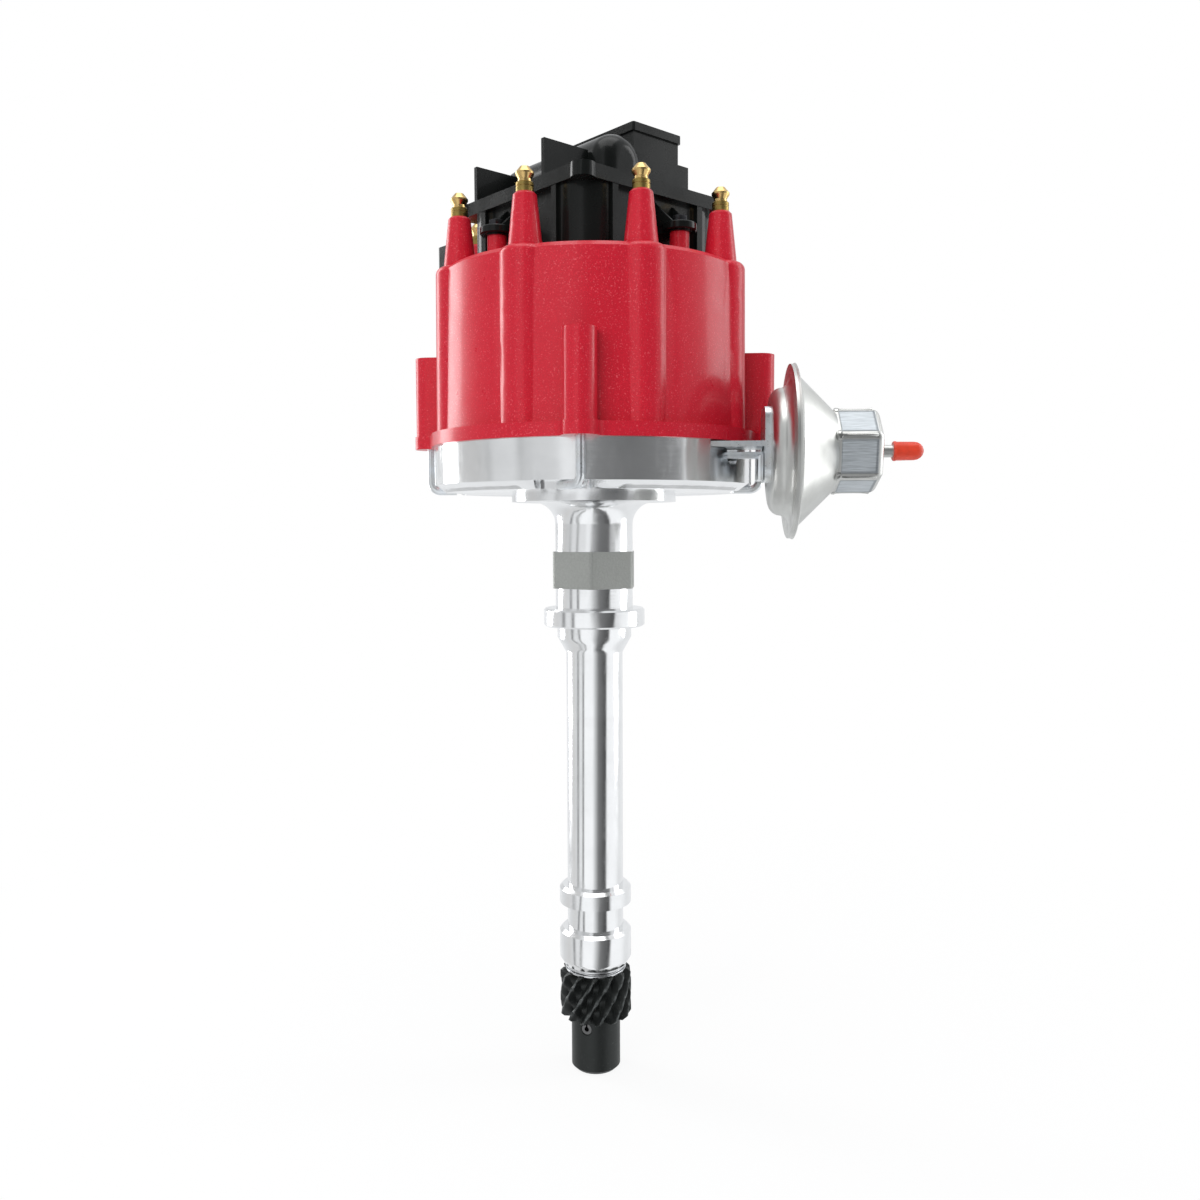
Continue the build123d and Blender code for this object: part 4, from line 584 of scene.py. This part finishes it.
def round_edges(part, width):
    """Rounds a solid part's sharp edges by modifiers that leave its own mesh as it is."""
    weld = part.modifiers.new("joined", "WELD")
    weld.merge_threshold = MERGE_DISTANCE
    edge = part.modifiers.new("rounded", "BEVEL")
    edge.width = width
    edge.segments = 2
    edge.limit_method = "ANGLE"
    edge.angle_limit = math.radians(38)
    edge.miter_outer = "MITER_ARC"
    part.modifiers.new("evened", "WEIGHTED_NORMAL")


# ---- Modelling tools ----


def clear_selection():
    """Leaves nothing selected, in object mode."""
    if bpy.context.object and bpy.context.object.mode != "OBJECT":
        bpy.ops.object.mode_set(mode="OBJECT")
    bpy.ops.object.select_all(action="DESELECT")


def merge_all():
    """Merges all that is open in edit mode where it meets, and turns the faces outwards."""
    bpy.ops.mesh.select_all(action="SELECT")
    bpy.ops.mesh.remove_doubles(threshold=MERGE_DISTANCE)
    bpy.ops.mesh.normals_make_consistent(inside=False)


def begin(name):
    """Names the primitive just added and opens it in edit mode with everything selected."""
    piece = bpy.context.object
    piece.name = name
    bpy.ops.object.mode_set(mode="EDIT")
    bpy.ops.mesh.select_all(action="SELECT")
    return piece


def close(piece, finish, body, round_by=0.0, angle=30):
    """Leaves edit mode with the mesh merged and its faces outwards, and finishes the piece.

    Edges sharper than the angle, in degrees, are rounded by round_by, in millimetres, and stay
    crisp in the shading.
    """
    merge_all()
    bpy.ops.object.mode_set(mode="OBJECT")
    bpy.ops.object.transform_apply(location=True, rotation=True, scale=True)
    if round_by:
        edge = piece.modifiers.new("rounded", "BEVEL")
        edge.width = round_by * MM
        edge.segments = 2
        edge.limit_method = "ANGLE"
        edge.angle_limit = math.radians(angle)
        bpy.ops.object.modifier_apply(modifier=edge.name)
    bpy.ops.object.shade_smooth_by_angle(angle=math.radians(angle))
    piece.data.materials.append(finish)
    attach(piece, body)
    return piece


def push_up(height):
    """Extrudes the selected faces upwards, or downwards where the height is negative."""
    bpy.ops.mesh.extrude_region_move(TRANSFORM_OT_translate={"value": (0, 0, height)})


def turned(name, outline, place, sides=48):
    """A solid turned about an upright axis: a disc drawn up through rings of (radius, height)."""
    clear_selection()
    x, y = place
    radius, height = outline[0]
    bpy.ops.mesh.primitive_circle_add(
        vertices=sides, radius=radius, fill_type="NGON", location=(x, y, height)
    )
    piece = begin(name)
    for next_radius, next_height in outline[1:]:
        push_up(next_height - height)
        ratio = next_radius / radius
        bpy.ops.transform.resize(value=(ratio, ratio, 1), center_override=(x, y, next_height))
        radius, height = next_radius, next_height
    return piece


def ring(name, inner, outer, low, high, sides=96):
    """A flat ring about the shaft's axis."""
    clear_selection()
    bpy.ops.mesh.primitive_circle_add(
        vertices=sides, radius=outer, fill_type="NGON", location=(0, 0, low)
    )
    piece = begin(name)
    bpy.ops.mesh.inset(thickness=outer - inner)
    bpy.ops.mesh.delete(type="FACE")
    bpy.ops.mesh.select_all(action="SELECT")
    push_up(high - low)
    return piece


def plate(name, corners, push):
    """A flat plate: a face whose vertices go to the corners, pushed out by its thickness."""
    clear_selection()
    bpy.ops.mesh.primitive_circle_add(
        vertices=len(corners), radius=MM, fill_type="NGON", location=(0, 0, 0)
    )
    piece = begin(name)
    mesh = bmesh.from_edit_mesh(piece.data)
    (face,) = mesh.faces
    for vertex, corner in zip(face.verts, corners):
        vertex.co = corner
    bmesh.update_edit_mesh(piece.data)
    bpy.ops.mesh.extrude_region_move(TRANSFORM_OT_translate={"value": push})
    return piece


def open_copy(piece, name, body):
    """Another of a piece, with its own mesh, open in edit mode with everything selected.

    Its mesh is moved and not the object, so that the object stays at the origin.
    """
    twin = piece.copy()
    twin.data = piece.data.copy()
    twin.name = name
    twin.parent = None
    bpy.context.scene.collection.objects.link(twin)
    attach(twin, body)
    clear_selection()
    twin.select_set(True)
    bpy.context.view_layer.objects.active = twin
    bpy.ops.object.mode_set(mode="EDIT")
    bpy.ops.mesh.select_all(action="SELECT")
    return twin


def plug_place(number):
    """Where a plug terminal stands, in x and y, counted from 1."""
    angle = FIRST_PLUG + FULL_TURN * (number - 1) / PLUG_COUNT
    return PLUG_CIRCLE * math.cos(angle), PLUG_CIRCLE * math.sin(angle)


def on_cover(x, y, z):
    """A place given in millimetres along the coil cover's sides, which stand at 45 degrees."""
    diagonal = math.sqrt(0.5)
    return Vector(((x - y) * diagonal, (x + y) * diagonal, z)) * MM


def raised(profile, base=0.0):
    """Rings of (radius, height) in metres above a base, from a profile in millimetres."""
    return [(radius * MM, base + height * MM) for radius, height in profile]


# ---- Stage ----


FLOOR_Z = CAD_BOUNDS[0][2]
FLOOR_RADIUS = 0.5
# Tones that metal and gloss reflect from round the room, as (share of the way round, tone). The
# front is at 0.25, and the share grows towards the right, which is at 0.5. Below eye level, two
# narrow dark strips stand on the left, and a dark wall from the front to halfway to the right
LOW_WALLS = (
    (0.0, 0.66), (0.040, 0.74), (0.050, 0.25), (0.062, 0.30), (0.075, 0.80), (0.112, 0.85),
    (0.118, 0.18), (0.128, 0.22), (0.140, 1.0), (0.235, 1.0), (0.262, 0.62), (0.300, 0.20),
    (0.385, 0.06), (0.402, 1.0), (0.50, 1.0), (0.58, 0.80), (0.66, 0.85), (0.84, 0.85),
    (0.92, 0.72), (1.0, 0.66),
)
# Above eye level, the left is grey, and a dark wall stands from the front nearly to the right
HIGH_WALLS = (
    (0.0, 0.55), (0.045, 0.55), (0.055, 0.70), (0.105, 0.72), (0.116, 0.50), (0.130, 0.62),
    (0.190, 0.68), (0.205, 0.88), (0.232, 0.80), (0.241, 0.22), (0.33, 0.16), (0.42, 0.22),
    (0.438, 0.30), (0.447, 0.85), (0.56, 0.80), (0.75, 0.85), (0.90, 0.60), (1.0, 0.55),
)
# How bright the palest wall is, its faint blue cast, and how soon below eye level the lower tones
# are reached
WALL_STRENGTH = 1.05
WALL_CAST = (0.97, 0.985, 1.0)
WALL_BORDER = 0.06


def stage_floor():
    """One pale round sheet under the object."""
    clear_selection()
    bpy.ops.mesh.primitive_circle_add(
        vertices=96, radius=1, fill_type="NGON", location=(0, 0, FLOOR_Z)
    )
    floor = bpy.context.object
    floor.name = "stage_floor"
    floor.visible_glossy = False
    bpy.ops.object.mode_set(mode="EDIT")
    bpy.ops.mesh.select_all(action="SELECT")
    bpy.ops.transform.resize(value=(FLOOR_RADIUS, FLOOR_RADIUS, 1))
    bpy.ops.mesh.inset(thickness=FLOOR_RADIUS / 2)
    bpy.ops.object.mode_set(mode="OBJECT")
    bpy.ops.object.transform_apply(location=True, rotation=True, scale=True)
    return floor


def stage_finish():
    """Pale matt paper that keeps a soft shadow near the object and fades to white."""
    s = Shader("stage_paper")
    s.tree.nodes.remove(s.surface)
    paper = s.add("ShaderNodeBsdfDiffuse")
    paper.inputs["Color"].default_value = (0.86, 0.86, 0.86, 1)
    glow = s.add("ShaderNodeEmission")
    glow.inputs["Strength"].default_value = 1.0
    seen = s.add("ShaderNodeLightPath").outputs["Is Camera Ray"]
    white = s.span(s.radius(), 0.25 * FLOOR_RADIUS, 0.95 * FLOOR_RADIUS, 0.9, 1.0)
    mix = s.add("ShaderNodeMixShader")
    s.feed(mix.inputs[0], s.calc("MULTIPLY", seen, white))
    s.tree.links.new(paper.outputs[0], mix.inputs[1])
    s.tree.links.new(glow.outputs[0], mix.inputs[2])
    s.tree.links.new(mix.outputs[0], s.output.inputs["Surface"])
    return s.material


def soft_lamps():
    """Two tall soft boxes at the sides, a wide one above, and a fill that metal doesn't reflect."""
    for name, place, width, height, power in (
        ("lamp_left", (-0.97, 0.5, 0.25), 0.4, 1.3, 8),
        ("lamp_right", (1.05, 0.25, 0.3), 0.4, 1.3, 4.5),
        ("lamp_above", (0.0, -0.2, 1.3), 1.2, 1.0, 8),
        ("lamp_front", (-0.5, -1.3, 0.45), 0.9, 0.9, 8),
    ):
        lamp = bpy.data.lights.new(name, "AREA")
        lamp.shape = "RECTANGLE"
        lamp.size, lamp.size_y = width, height
        lamp.energy = power
        holder = bpy.data.objects.new(name, lamp)
        bpy.context.scene.collection.objects.link(holder)
        holder.location = place
        holder.visible_glossy = name != "lamp_front"
        aim = Vector((0, 0, 0.03)) - Vector(place)
        holder.rotation_euler = aim.to_track_quat("-Z", "Y").to_euler()


def pale_world():
    """Soft even light, white to the camera, and a striped room for metal and gloss to reflect."""
    world = bpy.data.worlds.new("pale_room")
    bpy.context.scene.world = world
    world.use_nodes = True
    nodes, links = world.node_tree.nodes, world.node_tree.links
    nodes.clear()

    def background(colour, strength):
        """An even light."""
        node = nodes.new("ShaderNodeBackground")
        node.inputs["Color"].default_value = (*colour, 1)
        node.inputs["Strength"].default_value = strength
        return node

    def mixed(share, a, b):
        """Two lights mixed by a share."""
        node = nodes.new("ShaderNodeMixShader")
        links.new(share, node.inputs[0])
        links.new(a.outputs[0], node.inputs[1])
        links.new(b.outputs[0], node.inputs[2])
        return node

    room = nodes.new("ShaderNodeTexCoord")
    bearing = nodes.new("ShaderNodeTexGradient")
    bearing.gradient_type = "RADIAL"
    links.new(room.outputs["Generated"], bearing.inputs["Vector"])

    def walls(tones):
        """Upright stripes round the room."""
        ramp = nodes.new("ShaderNodeValToRGB")
        links.new(bearing.outputs["Fac"], ramp.inputs["Fac"])
        stops = ramp.color_ramp.elements
        stops[1].position = tones[-1][0]
        for place, tone in tones[1:-1]:
            stops.new(place).color = (*(part * tone for part in WALL_CAST), 1)
        stops[0].color = stops[-1].color = (tones[0][1],) * 3 + (1,)
        node = background((1, 1, 1), WALL_STRENGTH)
        links.new(ramp.outputs["Color"], node.inputs["Color"])
        return node

    height = nodes.new("ShaderNodeSeparateXYZ")
    links.new(room.outputs["Generated"], height.inputs[0])
    above = nodes.new("ShaderNodeMapRange")
    links.new(height.outputs["Z"], above.inputs["Value"])
    above.inputs["From Min"].default_value = -WALL_BORDER
    above.inputs["From Max"].default_value = 0.0
    striped = mixed(above.outputs["Result"], walls(LOW_WALLS), walls(HIGH_WALLS))
    path = nodes.new("ShaderNodeLightPath")
    lit = mixed(path.outputs["Is Glossy Ray"], background((0.94, 0.96, 1.0), 0.5), striped)
    seen = mixed(path.outputs["Is Camera Ray"], lit, background((1, 1, 1), 1.0))
    output = nodes.new("ShaderNodeOutputWorld")
    links.new(seen.outputs[0], output.inputs["Surface"])


def front_camera():
    """A camera a little to the right of the front, pitched slightly down."""
    turn, pitch, roll = math.radians(3.7), math.radians(3.92), math.radians(-0.21)
    away, aside, height = 480.3 * MM, 2.57 * MM, 44.2 * MM
    data = bpy.data.cameras.new("camera")
    # Both in millimetres, as Blender takes them
    data.sensor_width = 36
    data.lens = 32.25
    camera = bpy.data.objects.new("camera", data)
    bpy.context.scene.collection.objects.link(camera)
    out = Vector((math.sin(turn), -math.cos(turn), 0))
    right = Vector((math.cos(turn), math.sin(turn), 0))
    place = out * away + right * aside + Vector((0, 0, height))
    camera.matrix_world = (
        Matrix.Translation(place)
        @ Matrix.Rotation(turn, 4, "Z")
        @ Matrix.Rotation(math.pi / 2 - pitch, 4, "X")
        @ Matrix.Rotation(roll, 4, "Z")
    )
    bpy.context.scene.camera = camera


# ---- Operators ----


class FinishSolidParts(bpy.types.Operator):
    """Gives every solid part its finish"""

    bl_idname = "distributor.finish_solid_parts"
    bl_label = "Finish the solid parts"

    def execute(self, context):
        for name, finish in node_finishes().items():
            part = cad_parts[name]
            part.data.materials.clear()
            part.data.materials.append(finish)
            if name in ROUNDED_EDGES:
                round_edges(part, ROUNDED_EDGES[name] * MM)
        return {"FINISHED"}


# Collar of a plug terminal, above the terminal's foot: two bands with a groove between them
COLLAR_PROFILE = (
    (3.35, -0.2), (3.5, 0.1), (3.5, 1.9), (3.3, 2.05), (3.3, 2.25), (3.5, 2.4), (3.5, 3.6),
    (3.2, 3.9), (2.5, 4.1),
)


class CollarsOnTerminals(bpy.types.Operator):
    """Grooved brass collars at the feet of the eight plug terminals"""

    bl_idname = "distributor.collars_on_terminals"
    bl_label = "Collars on the terminals"

    def execute(self, context):
        dull = turned_metal("dull_brass", (0.40, 0.29, 0.09), 0.34, 0.3 * MM, marks=0.02, tint=0.8)
        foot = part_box("plug_terminal_1")[1][2] - TERMINAL_HEIGHT
        first = turned("terminal_collar_1", raised(COLLAR_PROFILE, foot), plug_place(1))
        close(first, dull.material, "housing")
        for number in range(2, PLUG_COUNT + 1):
            open_copy(first, f"terminal_collar_{number}", "housing")
            step = Vector(plug_place(number)) - Vector(plug_place(1))
            bpy.ops.transform.translate(value=(*step, 0))
            bpy.ops.object.mode_set(mode="OBJECT")
        return {"FINISHED"}


# Screw of the cover, with heights above the ear: its shank and the washer under its head
SCREW_PROFILE = ((1.6, -11), (1.6, 0), (4.2, 0), (4.3, 0.3), (4.0, 0.8), (3.0, 1.1))
# Its hexagonal head: the radius to its corners, where it starts above the ear, its height, and the
# rim and depth of the socket in its top
HEAD_RADIUS = 3.4 * MM
HEAD_FOOT = 0.9 * MM
HEAD_HEIGHT = 2.4 * MM
SOCKET_RIM = 0.9 * MM
SOCKET_DEPTH = 0.7 * MM


class HexagonCoverScrews(bpy.types.Operator):
    """Black washer-head screws that hold the coil cover down"""

    bl_idname = "distributor.hexagon_cover_screws"
    bl_label = "Screws of the cover"

    def execute(self, context):
        finish = plain_metal("blackened_screw", (0.055, 0.055, 0.06), 0.3)
        ear_top = EAR_TOP * MM
        for number, (x, y, _) in enumerate(COVER_EARS, 1):
            place = on_cover(x, y, 0)[:2]
            screw = turned(f"cover_screw_{number}", raised(SCREW_PROFILE, ear_top), place)
            close(screw, finish, "housing", 0.1, 40)
            clear_selection()
            bpy.ops.mesh.primitive_circle_add(
                vertices=HEXAGON_SIDES, radius=HEAD_RADIUS, fill_type="NGON",
                location=(*place, ear_top + HEAD_FOOT),
            )
            head = begin(f"cover_screw_head_{number}")
            push_up(HEAD_HEIGHT)
            bpy.ops.mesh.inset(thickness=SOCKET_RIM)
            push_up(-SOCKET_DEPTH)
            close(head, finish, "housing", 0.25)
        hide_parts("cover_screws")
        return {"FINISHED"}


# Round ledge under a screw, with heights above the ear
LEDGE_PROFILE = ((6.6, -2.9), (7.1, -2.5), (7.0, -0.15), (6.7, 0.15))
# Webs beside a screw, in millimetres: how far aside of it they stand, how far they reach out from
# the wall, the heights of their foot, outer end and inner end above the ear, and their thickness
WEB_ASIDE = 5.6
WEB_REACH = 10.6
WEB_FOOT = -0.5
WEB_OUTER_RISE = 0.6
WEB_INNER_RISE = 10.0
WEB_THICKNESS = 1.1


class GussetsOnEars(bpy.types.Operator):
    """Round ledges under the cover's screws, with thin triangular webs up to the walls"""

    bl_idname = "distributor.gussets_on_ears"
    bl_label = "Webs on the ears"

    def execute(self, context):
        finish = moulded_cover()
        for number, (x, y, (out_x, out_y)) in enumerate(COVER_EARS, 1):
            rings = raised(LEDGE_PROFILE, EAR_TOP * MM)
            ledge = turned(f"ear_ledge_{number}", rings, on_cover(x, y, 0)[:2])
            close(ledge, finish, "housing")
            for side, hand in ((-1, "left"), (1, "right")):
                near_x = x + WEB_ASIDE * side if out_y else out_x * COVER_WALL
                near_y = y + WEB_ASIDE * side if out_x else out_y * COVER_WALL
                far_x, far_y = near_x + out_x * WEB_REACH, near_y + out_y * WEB_REACH
                corners = (
                    on_cover(near_x, near_y, EAR_TOP + WEB_FOOT),
                    on_cover(far_x, far_y, EAR_TOP + WEB_FOOT),
                    on_cover(far_x, far_y, EAR_TOP + WEB_OUTER_RISE),
                    on_cover(near_x, near_y, EAR_TOP + WEB_INNER_RISE),
                )
                inwards = -WEB_THICKNESS * side
                push = on_cover(inwards if out_y else 0, inwards if out_x else 0, 0)
                web = plate(f"ear_web_{number}_{hand}", corners, push)
                close(web, finish, "housing", 0.15)
        return {"FINISHED"}


# The radius of the washers' bore, and the wave washer's waves: how far they rise and fall, their
# number, and how far they are turned
SHIM_BORE = 6.35 * MM
WAVE_HEIGHT = 0.28 * MM
WAVE_COUNT = 3
WAVE_TURN = 0.7


class ShimsUnderStem(bpy.types.Operator):
    """Two flat shims and a wave washer between the stem's foot and the drive gear"""

    bl_idname = "distributor.shims_under_stem"
    bl_label = "Shims under the stem"

    def execute(self, context):
        steel = turned_metal("washer_steel", (0.70, 0.71, 0.72), 0.22, 0.3 * MM).material
        (_, _, low), (radius, _, high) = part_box("thrust_washers")
        upper = ring("shim_upper", SHIM_BORE, radius, high - 0.9 * MM, high)
        close(upper, steel, "drive_shaft", 0.12)
        lower = ring("shim_lower", SHIM_BORE, 0.985 * radius, low, low + 0.85 * MM)
        close(lower, steel, "drive_shaft", 0.12)
        wave = ring("wave_washer", SHIM_BORE, 0.97 * radius, low + 1.15 * MM, low + 1.6 * MM)
        mesh = bmesh.from_edit_mesh(wave.data)
        for vertex in mesh.verts:
            turn = math.atan2(vertex.co.y, vertex.co.x)
            vertex.co.z += WAVE_HEIGHT * math.cos(WAVE_COUNT * turn + WAVE_TURN)
        bmesh.update_edit_mesh(wave.data)
        close(wave, steel, "drive_shaft", 0.1)
        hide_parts("thrust_washers")
        return {"FINISHED"}


# Nipple cap, in shares of its radius and length: the rim and barrel, up to where the nose starts,
# the angles of the rings round the nose, and the flutes
CAP_BARREL = ((0.93, 0.0), (1.0, 0.03), (1.0, 0.08), (0.95, 0.12), (0.93, 0.68))
NOSE_ANGLES = (0.35, 0.7, 1.05, 1.35)
FLUTE_COUNT = 10
FLUTE_DEPTH = 0.05
FLUTE_START = 0.12


class RibbedNippleCap(bpy.types.Operator):
    """Soft cap on the vacuum nipple, with flutes to grip"""

    bl_idname = "distributor.ribbed_nipple_cap"
    bl_label = "Cap on the nipple"

    def execute(self, context):
        (x0, y0, z0), (x1, y1, z1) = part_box("vacuum_cap")
        radius, length = (z1 - z0) / 2, x1 - x0
        wide, start = CAP_BARREL[-1]
        nose = [(wide * math.cos(t), start + (1 - start) * math.sin(t)) for t in NOSE_ANGLES]
        rings = [(radius * r, length * x) for r, x in (*CAP_BARREL, *nose)]
        cap = turned("nipple_cap", rings, (0, 0), sides=40)
        mesh = bmesh.from_edit_mesh(cap.data)
        for vertex in mesh.verts:
            x, y, z = vertex.co
            if z > FLUTE_START * length:
                flute = 1 - FLUTE_DEPTH * max(0.0, math.cos(FLUTE_COUNT * math.atan2(y, x)))
                x, y = x * flute, y * flute
            # The cap was turned upright, and is laid along +X here
            vertex.co = (x0 + z, (y0 + y1) / 2 + y, (z0 + z1) / 2 - x)
        bmesh.update_edit_mesh(cap.data)
        finish = soft_rubber("nipple_cap_rubber", tuple(colours().nipple_cap), 0.36)
        close(cap, finish, "housing", angle=50)
        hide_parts("vacuum_cap")
        return {"FINISHED"}


# Crease, as half width and place along it in millimetres: a foot, a waist and a wider end
CREASE_PROFILE = (
    (0.4, 0), (1.0, 0.15), (1.05, 1.4), (0.72, 2.0), (0.6, 4.8), (0.56, 8.8), (0.62, 12.3),
    (0.8, 14.2), (0.95, 15.0), (0.5, 15.6),
)
# Where the creases start along X, how long their foot is, and how many times wider it crosses
CREASE_START = 99.2 * MM
FOOT_LENGTH = 1.7 * MM
FOOT_WIDENING = 2.3


class CreasesOnCanister(bpy.types.Operator):
    """Pressed creases with crossed feet, along the corners of the canister's hexagonal end"""

    bl_idname = "distributor.creases_on_canister"
    bl_label = "Creases of the canister"

    def execute(self, context):
        crease = turned("canister_crease_1", raised(CREASE_PROFILE), (0, 0), sides=16)
        mesh = bmesh.from_edit_mesh(crease.data)
        middle_y, middle_z = CANISTER_AXIS
        corner = FLAT_TURN + SIXTH_TURN / 2
        for vertex in mesh.verts:
            across, proud, along = vertex.co
            if along < FOOT_LENGTH:
                across *= FOOT_WIDENING
            # The crease bends with the rounded corner, and is laid along +X there
            out = CREASE_RADIUS + proud - across * across / (2 * CORNER_ROUND)
            y = out * math.cos(corner) - across * math.sin(corner)
            z = out * math.sin(corner) + across * math.cos(corner)
            vertex.co = (CREASE_START + along, middle_y + y, middle_z + z)
        bmesh.update_edit_mesh(crease.data)
        finish = plain_metal("creased_plate", shade(tuple(colours().canister), 0.9), 0.22)
        close(crease, finish, "housing", angle=40)
        for number in range(2, HEXAGON_SIDES + 1):
            open_copy(crease, f"canister_crease_{number}", "housing")
            turn = SIXTH_TURN * (number - 1)
            middle = (0, middle_y, middle_z)
            bpy.ops.transform.rotate(value=turn, orient_axis="X", center_override=middle)
            bpy.ops.object.mode_set(mode="OBJECT")
        return {"FINISHED"}


class FoldOnBracket(bpy.types.Operator):
    """Stiffening flange beside the canister bracket's upright"""

    bl_idname = "distributor.fold_on_bracket"
    bl_label = "Fold on the bracket"

    def execute(self, context):
        (_, y0, z0), (x1, y1, _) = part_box("canister_bracket")
        width, slope = 14 * MM, 1.2 * MM
        near, far = x1 - 4.9 * MM, x1 - 2.6 * MM
        low, high = z0 + 0.6 * MM, z0 + 11.6 * MM
        side = (y0 + y1) / 2 - width / 2
        outline = ((near, low), (far, low), (far, high), (near, high - slope))
        fold = plate("bracket_fold", [(x, side, z) for x, z in outline], (0, width, 0))
        close(fold, plated_zinc(), "housing", 0.4)
        return {"FINISHED"}


class SpringsThatGive(bpy.types.Operator):
    """The two coil springs that the button and the pull rod move against, made smooth in coiled
    wire
    """

    bl_idname = "distributor.springs_that_give"
    bl_label = "Springs that give"

    def execute(self, context):
        finish = plain_metal("coiled_wire", (0.42, 0.42, 0.43), 0.3)
        # Each spring, the joint that shortens it, the way it shortens, and that joint's travel
        for name, joint, axis, travel in (
            ("carbon_spring", "button_press", Vector((0, 0, 1)), 1.5 * MM),
            ("diaphragm_spring", "vacuum_pull", Vector((1, 0, 0)), 5.2 * MM),
        ):
            spring = open_copy(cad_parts[name], f"{name}_coil", "housing")
            merge_all()
            bpy.ops.object.mode_set(mode="OBJECT")
            bpy.ops.object.shade_smooth_by_angle(angle=math.radians(40))
            spring.data.materials.clear()
            spring.data.materials.append(finish)
            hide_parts(name)
            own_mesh(spring)
        return {"FINISHED"}


class SetTheStage(bpy.types.Operator):
    """Adds the floor, the lamps, the room and the camera"""

    bl_idname = "distributor.set_the_stage"
    bl_label = "Set the stage"

    def execute(self, context):
        floor = stage_floor()
        floor.data.materials.append(stage_finish())
        soft_lamps()
        pale_world()
        front_camera()
        context.scene.view_settings.view_transform = "Standard"
        return {"FINISHED"}


class DistributorPanel(bpy.types.Panel):
    """Lists the distributor's operators"""

    bl_idname = "VIEW3D_PT_distributor"
    bl_label = "Ignition distributor"
    bl_space_type = "VIEW_3D"
    bl_region_type = "UI"
    bl_category = "Distributor"

    def draw(self, context):
        for operator in OPERATORS:
            self.layout.operator(operator.bl_idname)
        for group in (context.scene.distributor_sizes, context.scene.distributor_colours):
            for key in group.__annotations__:
                self.layout.prop(group, key)


OPERATORS = (
    FinishSolidParts,
    CollarsOnTerminals,
    HexagonCoverScrews,
    GussetsOnEars,
    ShimsUnderStem,
    RibbedNippleCap,
    CreasesOnCanister,
    FoldOnBracket,
    SpringsThatGive,
    SetTheStage,
)
CLASSES = (DistributorColours, DistributorSizes, *OPERATORS, DistributorPanel)


def register():
    for cls in CLASSES:
        bpy.utils.register_class(cls)
    bpy.types.Scene.distributor_colours = PointerProperty(type=DistributorColours)
    bpy.types.Scene.distributor_sizes = PointerProperty(type=DistributorSizes)


def unregister():
    del bpy.types.Scene.distributor_sizes
    del bpy.types.Scene.distributor_colours
    for cls in reversed(CLASSES):
        bpy.utils.unregister_class(cls)


def main():
    """Builds everything."""
    register()
    for operator in OPERATORS:
        group, name = operator.bl_idname.split(".")
        getattr(getattr(bpy.ops, group), name)()


if __name__ == "__main__":
    main()
